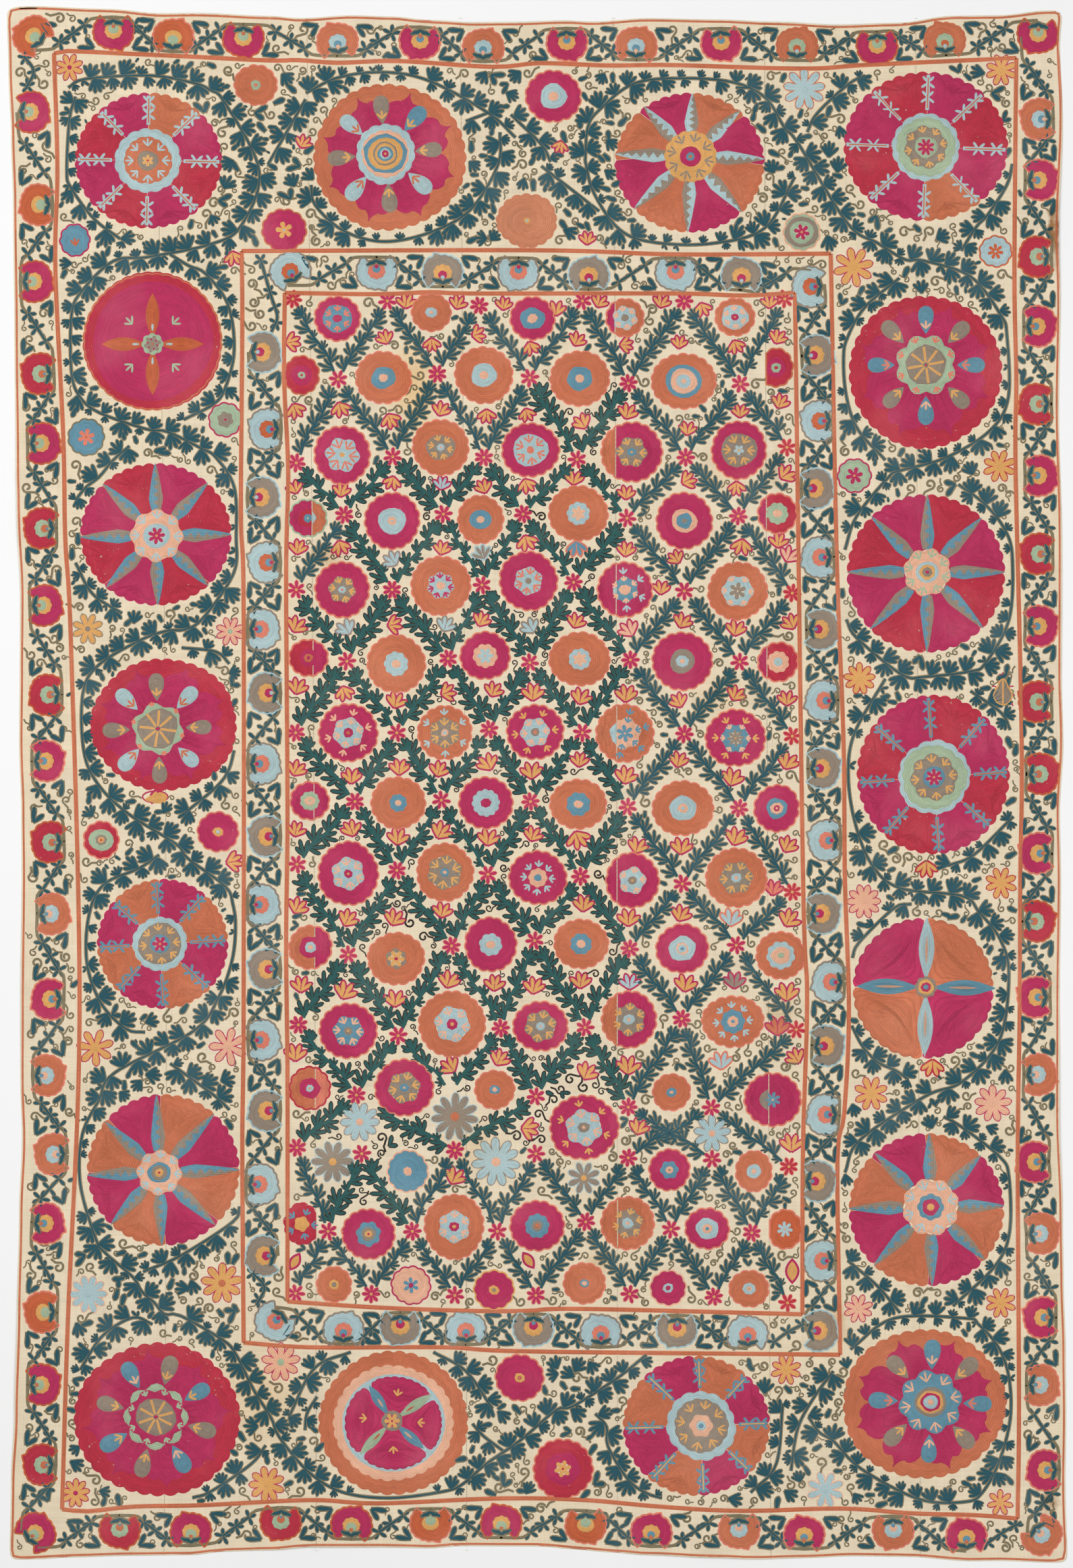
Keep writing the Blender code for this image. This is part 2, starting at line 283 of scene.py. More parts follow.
# Many-petalled flowers. petals: how many; way: where the gap for the stalk is, degrees clockwise from up.
STARS = (
    # x, y, radius, petals, way, dye, edge, core
    (103, 100, 20, 8, 180, "Y", "M", "M"), (1484, 104, 23, 8, 180, "Y", "M", "Y"),
    (1265, 396, 29, 8, 190, "Y", "M", "Y"), (1192, 132, 31, 9, 180, "L", "O", "L"),
    (130, 932, 23, 8, 180, "Y", "T", "T"), (341, 936, 21, 8, 180, "P", "M", "G"),
    (1481, 691, 24, 8, 180, "Y", "C", "Y"), (1274, 1006, 23, 9, 180, "Y", "C", "Y"),
    (1280, 1336, 25, 10, 180, "P", "M", "P"), (1483, 1309, 23, 8, 180, "Y", "C", "Y"),
    (1291, 1621, 25, 8, 180, "Y", "M", "Y"), (1471, 1636, 27, 9, 180, "P", "M", "P"),
    (141, 1553, 27, 7, 200, "Y", "M", "Y"), (338, 1551, 28, 7, 90, "P", "M", "P"),
    (131, 1918, 28, 10, 180, "L", "P", "L"), (329, 1902, 30, 9, 180, "Y", "M", "O"),
    (112, 2213, 21, 9, 180, "Y", "M", "M"), (395, 2200, 26, 9, 90, "Y", "M", "Y"),
    (416, 2019, 28, 9, 180, "P", "M", "G"), (1165, 2030, 22, 8, 180, "Y", "M", "Y"),
    (1223, 2208, 27, 8, 180, "L", "P", "L"), (1272, 1940, 21, 8, 180, "P", "M", "P"),
    (1483, 1931, 22, 8, 180, "Y", "M", "Y"), (1482, 2227, 19, 7, 180, "Y", "M", "Y"),
    (533, 1663, 29, 10, 180, "L", "U", "P"), (674, 1655, 35, 11, 180, "T", "L", "O"),
    (493, 1722, 31, 10, 180, "T", "L", "Y"), (735, 1722, 36, 11, 180, "L", "T", "P"),
    (1055, 1680, 27, 9, 180, "L", "T", "P"), (865, 1746, 24, 8, 180, "T", "L", "Y"),
)

# The palmettes of the two narrow borders. way: degrees clockwise from up, the way it opens away from its
# calyx; in a row, they open to the one side and the other in turn.
PALMETTES = (
    # kinds, the first one's way, and where they are
    ("O", 315, ((46, 50),)),
    ("MOMomomomgMgM", 180, (
        (168, 50), (257, 52), (360, 61), (500, 58), (622, 65), (716, 67), (840, 67), (943, 64),
        (1069, 67), (1181, 65), (1300, 72), (1400, 57), (1538, 55),
    )),
    ("omCmCmCmCCmCmbmbmbm", 270, (
        (1536, 177), (1544, 267), (1533, 381), (1542, 484), (1533, 599), (1544, 705), (1535, 821),
        (1544, 928), (1533, 1040), (1546, 1147), (1534, 1265), (1540, 1366), (1531, 1478), (1542, 1592),
        (1529, 1722), (1546, 1828), (1540, 1953), (1546, 2053), (1545, 2179),
    )),
    ("b", 135, ((1547, 2278),)),
    ("MOMCMCMCmCbmbbmOMC", 90, (
        (50, 166), (53, 303), (55, 417), (55, 554), (66, 657), (59, 783), (69, 897), (67, 1030),
        (72, 1128), (70, 1248), (80, 1354), (70, 1481), (73, 1594), (75, 1711), (72, 1813), (60, 1945),
        (66, 2052), (58, 2171),
    )),
    ("M", 45, ((56, 2269),)),
    ("CMCMOMOmbmbm", 180, (
        (177, 2271), (283, 2266), (416, 2259), (521, 2256), (638, 2261), (743, 2254), (868, 2264),
        (965, 2267), (1095, 2271), (1192, 2271), (1324, 2272), (1432, 2274),
    )),
    ("L", 330, ((428, 398),)),
    ("lTlTlT", 180, ((558, 406), (656, 400), (768, 407), (872, 404), (1001, 407), (1099, 405))),
    ("LTLtltltltltltlt", 270, (
        (1197, 425), (1213, 526), (1210, 624), (1212, 724), (1211, 826), (1220, 933), (1217, 1038),
        (1222, 1139), (1221, 1246), (1222, 1354), (1227, 1455), (1228, 1550), (1219, 1652), (1215, 1751),
        (1214, 1869), (1218, 1972),
    )),
    ("l", 225, ((405, 1962),)),
    ("ltltltl", 0, (
        (509, 1968), (593, 1970), (690, 1968), (790, 1972), (890, 1972), (1003, 1974), (1108, 1974),
    )),
    ("TLTLlTltltltlt", 90, (
        (393, 522), (392, 636), (391, 737), (391, 834), (391, 933), (391, 1027), (392, 1132), (391, 1240),
        (391, 1341), (391, 1437), (392, 1541), (391, 1646), (389, 1755), (387, 1861),
    )),
)

# Short branches that turn the corners of the narrow borders.
CORNERS = (
    ((386, 384), (394, 412), (402, 440), (411, 470), (402, 492)), ((1146, 1990), (1166, 1975), (1192, 1962)),
    ((374, 1886), (392, 1908), (380, 1934)), ((36, 84), (50, 106), (38, 132)),
    ((1462, 2288), (1488, 2270), (1514, 2256)),
)

# The stems of the main border, each through charted places.
VINES = (
    ((112, 143), (103, 177), (99, 253), (105, 278), (139, 324), (178, 354)),
    ((101, 130), (127, 117), (220, 112), (286, 123), (312, 134), (333, 152), (384, 253), (357, 335),
     (312, 362), (219, 381), (168, 387), (121, 432), (106, 467), (106, 552), (119, 589), (148, 612),
     (217, 636), (248, 640), (299, 665), (320, 678), (347, 722), (350, 796), (346, 850), (301, 916),
     (274, 933), (248, 935), (210, 948), (147, 985), (123, 1027), (124, 1112), (145, 1162), (190, 1206),
     (261, 1251), (278, 1272), (334, 1314), (345, 1340), (349, 1373), (344, 1423), (324, 1478),
     (287, 1528), (170, 1590), (147, 1630), (122, 1682), (119, 1755), (142, 1836), (156, 1857),
     (197, 1893), (210, 1914), (229, 1931), (244, 1948), (267, 1950), (330, 1986), (350, 2008),
     (376, 2060), (402, 2102), (414, 2130), (457, 2181), (507, 2211), (577, 2220), (655, 2211),
     (685, 2200), (720, 2170), (772, 2134), (824, 2090), (849, 2084), (914, 2043), (958, 2008)),
    ((453, 138), (501, 115), (568, 107), (636, 120), (724, 168), (764, 204)),
    ((741, 196), (738, 244), (697, 311), (636, 345), (568, 358), (509, 342), (467, 304), (461, 274)),
    ((453, 147), (397, 244)),
    ((867, 238), (871, 189), (888, 163), (939, 124), (1010, 116), (1086, 122), (1134, 145), (1163, 190),
     (1183, 213), (1256, 331), (1300, 360), (1342, 385), (1367, 386), (1438, 410), (1483, 467),
     (1492, 497), (1494, 590), (1465, 640), (1400, 679), (1333, 698), (1316, 708), (1269, 766),
     (1252, 815)),
    ((867, 238), (880, 286), (918, 340), (968, 359), (1053, 361), (1133, 338), (1178, 262)),
    ((802, 246), (888, 313)),
    ((1196, 196), (1211, 168), (1257, 125), (1282, 112)),
    ((1500, 243), (1492, 274), (1464, 318), (1447, 336), (1424, 372)),
    ((1333, 412), (1282, 455), (1256, 500), (1250, 530), (1254, 586), (1271, 636), (1312, 682)),
    ((1254, 918), (1270, 946), (1337, 1000), (1371, 1003), (1438, 995), (1460, 983), (1495, 918),
     (1500, 829), (1490, 787), (1460, 748), (1420, 718)),
    ((1312, 1006), (1267, 1085), (1257, 1145), (1266, 1215), (1291, 1280), (1333, 1316), (1426, 1328),
     (1451, 1352), (1482, 1392), (1495, 1444), (1481, 1541), (1426, 1603), (1371, 1625), (1274, 1690),
     (1252, 1738)),
    ((1438, 1024), (1484, 1057), (1497, 1082)),
    ((1502, 1210), (1443, 1267), (1405, 1283)),
    ((1351, 1340), (1325, 1346), (1273, 1397), (1263, 1420)),
    ((1262, 1520), (1279, 1552), (1302, 1575), (1328, 1587), (1346, 1600)),
    ((1398, 1655), (1426, 1671), (1482, 1715), (1495, 1745), (1496, 1826), (1474, 1877), (1412, 1936)),
    ((1256, 1868), (1300, 1906), (1334, 1946)),
    ((1260, 2000), (1325, 1954), (1432, 1954), (1449, 1962), (1479, 1996), (1495, 2041), (1497, 2103),
     (1480, 2168), (1455, 2213), (1430, 2226), (1362, 2222), (1276, 2177), (1235, 2136), (1214, 2123),
     (1198, 2100)),
    ((1235, 2032), (1205, 2073), (1182, 2118), (1172, 2180)),
    ((882, 2095), (899, 2115), (901, 2144), (931, 2193), (958, 2213), (981, 2220)),
    ((252, 377), (280, 394), (305, 406), (338, 452), (347, 520), (333, 577), (315, 600), (272, 622)),
    ((192, 661), (168, 682), (147, 707), (127, 723), (112, 742)),
    ((112, 834), (137, 880), (181, 909)),
    ((269, 960), (320, 966), (340, 984)),
    ((347, 1112), (339, 1141), (321, 1166), (274, 1205)),
    ((236, 1267), (206, 1287), (154, 1311), (132, 1356), (129, 1427), (150, 1487), (187, 1525),
     (215, 1530)),
    ((252, 1576), (318, 1624), (340, 1645)),
    ((355, 1788), (345, 1811), (268, 1861), (212, 1885)),
    ((226, 1963), (197, 1953), (152, 1980), (119, 2030)),
    ((394, 2142), (372, 2170), (312, 2211), (285, 2220)),
    ((520, 2004), (466, 2028), (428, 2100)),
    ((642, 2004), (690, 2032), (730, 2088)),
    ((1112, 2212), (1150, 2170), (1160, 2080)),
    ((690, 180), (722, 168)),
    ((757, 170), (802, 214), (816, 240)),
    ((470, 2070), (455, 2095), (452, 2120)),
    ((1090, 130), (1112, 130)),
    ((700, 2110), (716, 2128), (745, 2150)),
)

# How high stitching stands over the cotton, in metres.
CLOTH_TOP = 1.1 * MM  # the cotton's own thickness
SINK = 0.08 * MM  # how far the foot of a stitch goes into what it is worked on
BED = 0.5 * MM  # the top of a filled area over the cotton
STEP = 0.15 * MM  # from one filled area to the next one on it
UNDER, OVER = 0.3 * MM, 0.55 * MM  # the ridge of a leaf's outline, and of the leaf on it
FOOT = 0.03 * MM  # the edge of a strand of stitching over what it is worked on

# In squares.
SLOPE = 1.1  # how far a filled area's edge slopes inwards
RING_STEP = 24  # the widest step from one ring of a filled area to the next

# Outlines of a lobe: share of its length from the base, share of its width.
PETAL = ((0, 0.5), (0.36, 0.82), (0.7, 1.0), (0.92, 0.72), (1, 0.16))
FINGER = ((0, 0.5), (0.55, 0.95), (0.9, 0.86), (1, 0.35))


# ---------------------------------------------------------------- the cloth


def on_cloth(x, y):
    """The place in metres, seen from above, of a place on the chart."""
    return (x - MIDDLE_X) * CHART, (MIDDLE_Y - y) * CHART


def on_chart(x, y):
    """The place on the chart of a place in metres."""
    return x / CHART + MIDDLE_X, MIDDLE_Y - y / CHART


def ease(t):
    """A share from 0 to 1, with a level start and end."""
    return t * t * (3 - 2 * t)


def inset_at(edge, distance):
    """How far inside the bounding box a side lies, this far along it, in metres."""
    at = min(max(distance / MM, edge[0][0]), edge[-1][0])
    return next((low + (high - low) * ease((at - start) / (end - start))) * MM
                for (start, low), (end, high) in zip(edge, edge[1:]) if at <= end)


def seam_at(seam, share):
    """A seam's x this share of the way up the cloth, on the parabola through its three named places."""
    top, middle, bottom = seam
    bow = middle - (top + bottom) / 2
    return LEFT + (bottom + (top - bottom) * share + bow * 4 * share * (1 - share)) * MM


def side_at(number, share):
    """The x of the line between strips number - 1 and number: a seam, or a long side of the cloth."""
    from_top = LENGTH * (1 - share)
    if number == 0:
        return LEFT + inset_at(LEFT_EDGE, from_top)
    if number > len(SEAMS):
        return -LEFT - inset_at(RIGHT_EDGE, from_top)
    return seam_at(SEAMS[number - 1], share)


def ends_at(along):
    """The y of the cloth's top and bottom ends, this far from the left of the bounding box."""
    return TOP - inset_at(TOP_EDGE, along), inset_at(BOTTOM_EDGE, along) - TOP


def lift_at(x, y):
    """The height of the cloth's underside above the floor. x and y are numbers or arrays of them."""
    height = np.zeros_like(np.asarray(x, float))
    for middle_x, middle_y, reach_x, reach_y, top in SWELLS:
        away = np.hypot((x / MM - middle_x) / reach_x, (y / MM - middle_y) / reach_y)
        height = np.maximum(height, top * ease(1 - np.minimum(away, 1)))
    return height * MM


def place_on(number, across, share, seam_gap):
    """The point of a strip this share of the way across it and up it, and how far inside the hem it is."""
    left = side_at(number, share) + (seam_gap / 2 if number else 0)
    right = side_at(number + 1, share) - (seam_gap / 2 if number < len(SEAMS) else 0)
    x = left + (right - left) * across
    top, bottom = ends_at(x - LEFT)
    y = bottom + (top - bottom) * share
    insides = abs(side_at(len(SEAMS) + 1 if x > 0 else 0, share) - x), min(top - y, y - bottom)
    side, end = (max(1 - inside / CORNER_RADIUS, 0) for inside in insides)
    x -= math.copysign(side * (1 - math.sqrt(1 - end**2 / 2)), x) * CORNER_RADIUS
    y -= math.copysign(end * (1 - math.sqrt(1 - side**2 / 2)), y) * CORNER_RADIUS
    return x, y, min(insides)


def seam_near(x, y, within):
    """The chart x of the seam that runs this near a place on the chart, or None."""
    share = 0.5 - (y - MIDDLE_Y) * CHART / LENGTH
    seams = (seam_at(seam, share) / CHART + MIDDLE_X for seam in SEAMS)
    return next((at for at in seams if abs(at - x) < within), None)


# ---------------------------------------------------------------- drawing on the chart


def ahead(place, way, far, aside=0.0):
    """The place this far ahead and aside to the right, facing way: degrees clockwise from up."""
    dx, dy = math.sin(math.radians(way)), -math.cos(math.radians(way))
    return place[0] + dx * far - dy * aside, place[1] + dy * far + dx * aside


def facing(start, end):
    """The way from one place to another, in degrees clockwise from up."""
    return math.degrees(math.atan2(end[0] - start[0], start[1] - end[1]))


def round_at(x, y, rx, ry, way):
    """The place on an oval, this way from its middle."""
    return x + rx * math.sin(math.radians(way)), y - ry * math.cos(math.radians(way))


def bulged(corners, bulges, steps=4):
    """A closed outline through corners, clockwise, each side swollen outwards by a share of its length."""
    outline = []
    for number, (start, end) in enumerate(zip(corners, corners[1:] + corners[:1])):
        bulge = bulges[number % len(bulges)]
        dx, dy = end[0] - start[0], end[1] - start[1]
        for step in range(steps if bulge else 1):
            t = step / steps
            out = bulge * 4 * t * (1 - t)
            outline.append((start[0] + dx * t + dy * out, start[1] + dy * t - dx * out))
    return outline


def rim(x, y, rx, ry, corners, bulge=0.0, turn=0.0, rng=None, uneven=0.02):
    """A closed outline round a place: a circle of corners, or of scallops where bulge isn't 0."""
    phases = [(lobes, rng.uniform(0, 6.3), rng.uniform(0, uneven)) for lobes in (2, 3, 5)] if rng else []
    shrink = 1 + 4.8 * bulge / corners
    places = []
    for step in range(corners):
        way = 360 * step / corners + turn
        reach = 1 + sum(size * math.sin(lobes * math.radians(way) + phase) for lobes, phase, size in phases)
        places.append(round_at(x, y, rx / shrink * reach, ry / shrink * reach, way))
    return bulged(places, (bulge,)) if bulge else places


def cut(outline, at, keep_right):
    """The part of an outline on one side of an upright line."""
    side = 1 if keep_right else -1
    kept = []
    for start, end in zip(outline, outline[1:] + outline[:1]):
        before, after = (start[0] - at) * side, (end[0] - at) * side
        if before >= 0:
            kept.append(start)
        if (before < 0) != (after < 0):
            kept.append((at, start[1] + (end[1] - start[1]) * before / (before - after)))
    return kept


def smoothed(line, step):
    """An open line drawn smoothly through its places, with a place about every step."""
    first, last = (tuple(2 * p - q for p, q in zip(*pair)) for pair in (line[:2], line[:-3:-1]))
    line = [first, *line, last]
    made = []
    for places in zip(line, line[1:], line[2:], line[3:]):
        count = max(1, round(math.dist(*places[1:3]) / step))
        for t in (number / count for number in range(count)):
            made.append(tuple(
                0.5 * (2 * q + (r - p) * t + (2 * p - 5 * q + 4 * r - s) * t * t
                       + (3 * q - p - 3 * r + s) * t**3) for p, q, r, s in zip(*places)))
    return made + [line[-2]]


def stations(line, spacing, start=0.0):
    """Places along a line at equal distances, each with the way the line runs there."""
    found, due, walked = [], start, 0.0
    for a, b in zip(line, line[1:]):
        long = math.dist(a, b)
        while due <= walked + long and long:
            t = (due - walked) / long
            found.append((a[0] + (b[0] - a[0]) * t, a[1] + (b[1] - a[1]) * t, facing(a, b)))
            due += spacing
        walked += long
    return found


# ---------------------------------------------------------------- stitching


class Needlework:
    """Stitching drawn on the chart, in squares with its height in metres, to become one mesh.

    Each face keeps its thread's letter, and each corner its place in the rows of stitches, in squares. The
    discs are what a motif fills, as (x, y, radius).
    """

    def __init__(self):
        self.points, self.faces, self.threads, self.rows, self.discs = [], [], [], [], []

    def lay(self, rings, thread, closed=False):
        """Faces between neighbouring rings of places, each (x, y, height, along, across)."""
        wide = len(rings[0]) - closed
        starts = []
        for ring in rings:
            starts.append(len(self.points))
            self.points += [place[:3] for place in ring[:wide]]
        for a, b, first, second in zip(rings, rings[1:], starts, starts[1:]):
            for c in range(len(a) - 1):
                d = (c + 1) % wide
                if len(b) == 1:
                    self.faces.append((first + c, first + d, second))
                    self.rows += [a[c][3:], a[c + 1][3:], ((a[c][3] + a[c + 1][3]) / 2, b[0][4])]
                else:
                    self.faces.append((first + c, first + d, second + d, second + c))
                    self.rows += [a[c][3:], a[c + 1][3:], b[c + 1][3:], b[c][3:]]
                self.threads.append(thread)

    def patch(self, outline, thread, lift, hole=0.0, middle=None):
        """An area filled with rows that follow its outline inwards. hole: where they stop, as a share."""
        places = np.array(outline)
        large = middle is not None and len(places) > 30
        middle = places.mean(axis=0) if middle is None else np.array(middle)
        arm = soft = places - middle
        side = np.roll(places, -1, axis=0) - np.roll(places, 1, axis=0)
        reach = np.abs(arm[:, 0] * side[:, 1] - arm[:, 1] * side[:, 0]) / (np.hypot(*side.T) + 1e-9)
        for _ in range(2):
            reach = (np.roll(reach, 1) + reach * 2 + np.roll(reach, -1)) / 4
        if large:  # the inner rows smooth the scallops out
            for _ in range(3):
                soft = sum(np.roll(soft, by, axis=0) for by in (-2, -1, 0, 1, 2)) / 5
            soft = soft * np.hypot(*arm.T).mean() / np.hypot(*soft.T).mean()
        walked = np.concatenate(([0], np.cumsum(np.hypot(*(np.roll(places, -1, axis=0) - places).T))))
        size = reach.max()
        shares = [1.0, 1 - min(SLOPE / max(reach.min(), 2.5), 0.4)]
        inner = max(1, math.ceil((shares[-1] - hole) * size / RING_STEP))
        if large and (shares[-1] - hole) * size > 12:
            shares.append(shares[-1] - 6 / size)
        shares += [shares[-1] + (hole - shares[-1]) * step / inner for step in range(1, inner + 1)]
        rings = []
        for share, height in zip(shares, [-SINK] + [lift] * len(shares)):
            if share <= 0:
                rings.append([(*middle, lift, 0.0, float(size))])
                break
            flat = middle + (arm * share**6 + soft * (1 - share**6)) * share
            ring = [(*place, height, run * share, (1 - share) * far)
                    for place, run, far in zip(flat, walked, reach)]
            rings.append([*ring, (*ring[0][:3], walked[-1] * share, ring[0][4])])
        self.lay(rings, thread, closed=True)

    def strand(self, line, wide, thread, top, feet=(FOOT, FOOT), closed=False):
        """A low arch of stitching along a line. wide: one width, or a list; feet: left and right."""
        wides = wide if isinstance(wide, list) else [wide] * len(line)
        line, wides = [*line, *line[:closed]], [*wides, *wides[:closed]]
        rings, walked, last = ([], [], []), 0.0, len(line) - 1
        for at, place in enumerate(line):
            before, after = line[max(at - 1, 0)], line[min(at + 1, last)]
            walked += math.dist(before, place)
            if closed and at in (0, last):
                before, after = line[-2], line[1]
            way, half = facing(before, after), wides[at] / 2
            for ring, aside, height in zip(rings, (-half, 0, half), (feet[0], top, feet[1])):
                ring.append((*ahead(place, way, 0, aside), height, walked, aside + half))
        self.lay(rings, thread, closed)

    def ridge(self, line, wide, thread, on=0.0, over=False):
        """A strand worked at a height, or over a wider strand there."""
        top, foot = (OVER, STEP) if over else (UNDER, FOOT)
        self.strand(line, wide, thread, on + top, (on + foot, on + foot))

    def finger(self, base, way, long, wide, thread, on=0.0, bend=0.0, edge=None, edging=1.3, shape=PETAL):
        """A lobe of a leaf or a petal from its base, over a wider one in its edge's thread.

        on: the height of what it is worked on.
        """
        line, wides = [base], [wide * shape[0][1]]
        for (before, _), (share, fat) in zip(shape, shape[1:]):
            line.append(ahead(line[-1], way + bend * (share + before) / 2, long * (share - before)))
            wides.append(wide * fat)
        if edge:
            under = [ahead(base, way, -edging * 0.6), *line[1:-1], ahead(line[-1], way + bend, edging)]
            unders = [w + edging * 2 for w in wides[:-1]] + [wides[-1] + edging * 0.9]
            self.ridge(under, unders, edge, on)
        self.ridge(line, wides, thread, on, bool(edge))
        self.discs += [(*line[2], wide / 2), (*line[-1], wide / 3)]

    def sprout(self, base, way, long, thread, on, spread=42, wide=3.2):
        """A little three-fingered shoot."""
        for turn in (-spread, 0, spread):
            self.finger(base, way + turn, long * (0.9 if turn else 1), wide, thread, on)

    def mesh(self, laid=True):
        """The stitching as a mesh: laid on the cloth, or round the origin if it is a pattern to repeat."""
        x, y, height = np.array(self.points).T
        x, y = on_cloth(x, y) if laid else (x * CHART, -y * CHART)
        mesh = bpy.data.meshes.new("stitching")
        mesh.from_pydata(np.column_stack((x, y, height)).tolist(), [], self.faces)
        rows = mesh.uv_layers.new(name="rows")
        rows.data.foreach_set("uv", (np.array(self.rows) * CHART).astype(np.float32).ravel())
        colours = {letter: thread_colour(letter) for letter in set(self.threads)}
        table = [colours[letter] for letter, face in zip(self.threads, self.faces) for _ in face]
        mesh.color_attributes.new("dye", "FLOAT_COLOR", "CORNER").data.foreach_set(
            "color", np.array(table, np.float32).ravel())
        for face in [face for face in mesh.polygons if face.normal.z < 0]:
            face.flip()
        mesh.shade_smooth()
        if laid:
            lay_down(mesh)
        return mesh


def lay_down(mesh):
    """Takes stitching drawn flat at height 0 down on the cloth, swells and all."""
    places = np.zeros(len(mesh.vertices) * 3, np.float32)
    mesh.vertices.foreach_get("co", places)
    places = places.reshape(-1, 3)
    places[:, 2] += CLOTH_TOP + lift_at(places[:, 0], places[:, 1])
    mesh.vertices.foreach_set("co", places.ravel())
    mesh.update()


WEAR = {"C": 0.62, "M": 0.42, "O": 0.36, "R": 0.5, "K": 0.35, "N": 0.5, "S": 0.3, "U": 0.3}


def thread_colour(letter):
    """A thread's colour as the dye attribute holds it, with how easily it wears as alpha."""
    return *getattr(bpy.context.scene.suzani_threads, KEY[letter]), WEAR.get(letter, 0.25)


def keep(name, mesh, material):
    """Makes a mesh a finished piece that goes with the cloth."""
    mesh.name = name
    piece = bpy.data.objects.new(name, mesh)
    bpy.context.scene.collection.objects.link(piece)
    mesh.materials.clear()
    mesh.materials.append(material)
    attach(piece, "root")
    return piece


# ---------------------------------------------------------------- what is already filled


class Room:
    """Which parts of the chart are filled, on cells of 2 squares."""

    ROWS, COLUMNS = 1168, 800
    HEM = 9  # how far inside the cloth's edge counts as filled, in squares

    def __init__(self):
        """All that is outside the cloth's edge line counts as filled."""
        self.taken = np.zeros((self.ROWS, self.COLUMNS), bool)
        for row, cells in enumerate(self.taken):
            share = 0.5 - (row * 2 - MIDDLE_Y) * CHART / LENGTH
            left, right = (side_at(number, share) / CHART + MIDDLE_X for number in (0, 7))
            cells[: int((left + self.HEM) // 2)] = cells[int((right - self.HEM) // 2):] = True
        for column, cells in enumerate(self.taken.T):
            top, bottom = (MIDDLE_Y - end / CHART for end in ends_at((column * 2 - MIDDLE_X) * CHART - LEFT))
            cells[: int((top + self.HEM) // 2)] = cells[int((bottom - self.HEM) // 2):] = True

    def part(self, x, y, radius):
        """The cells round a disc, and which of them it covers."""
        rows, columns = (np.arange(max(int((at - radius) // 2), 0), min(int((at + radius) // 2) + 2, count))
                         for at, count in ((y, self.ROWS), (x, self.COLUMNS)))
        covered = (rows[:, None] * 2 - y) ** 2 + (columns[None, :] * 2 - x) ** 2 <= (radius + 0.8) ** 2
        return self.taken[rows[0]:rows[-1] + 1, columns[0]:columns[-1] + 1], covered

    def fill(self, discs):
        for disc in discs:
            cells, covered = self.part(*disc)
            cells |= covered

    def free(self, discs):
        for x, y, radius in discs:
            if not (10 < x < WIDE - 10 and 10 < y < HIGH - 14):
                return False
            if np.logical_and(*self.part(x, y, radius)).any():
                return False
        return True


def moved(discs, place, way, size):
    """A motif's discs where it is to be laid."""
    return [(*ahead(place, way, -y * size, x * size), radius * size) for x, y, radius in discs]


def put(room, spots, motifs, name, place, way, sizes):
    """Sets a motif at the first of the sizes at which it finds room. Gives whether it did."""
    for size in sizes:
        discs = moved(motifs[name].discs, place, way, size)
        if room.free(discs):
            spots.append((name, *place, way, size))
            room.fill(discs)
            return True
    return False


# ---------------------------------------------------------------- flowers and medallions

Mark = collections.namedtuple("Mark", "spokes thread radius lobes inside outside")


def marks_of(code):
    """A centre's discs from its code.

    L25^8*P+Y is a light blue disc 25 squares in radius with 8 lobes, peach shoots in it and yellow shoots
    round it. |O30 is orange spokes 30 squares long. A lobed disc under 14 is a star of petals. A seam may cut
    a rosette's centre in two at a stroke: the left of it is before the stroke, and the right after it.
    """
    pattern = re.compile(r"(\|?)([A-Z])(\d+)(?:\^(\d+))?(?:\*([A-Z]))?(?:\+([A-Z]))?")
    marks = (pattern.fullmatch(mark).groups() for mark in code.split())
    return [Mark(bool(spokes), thread, float(radius), int(lobes or 0), inside, outside)
            for spokes, thread, radius, lobes, inside, outside in marks]


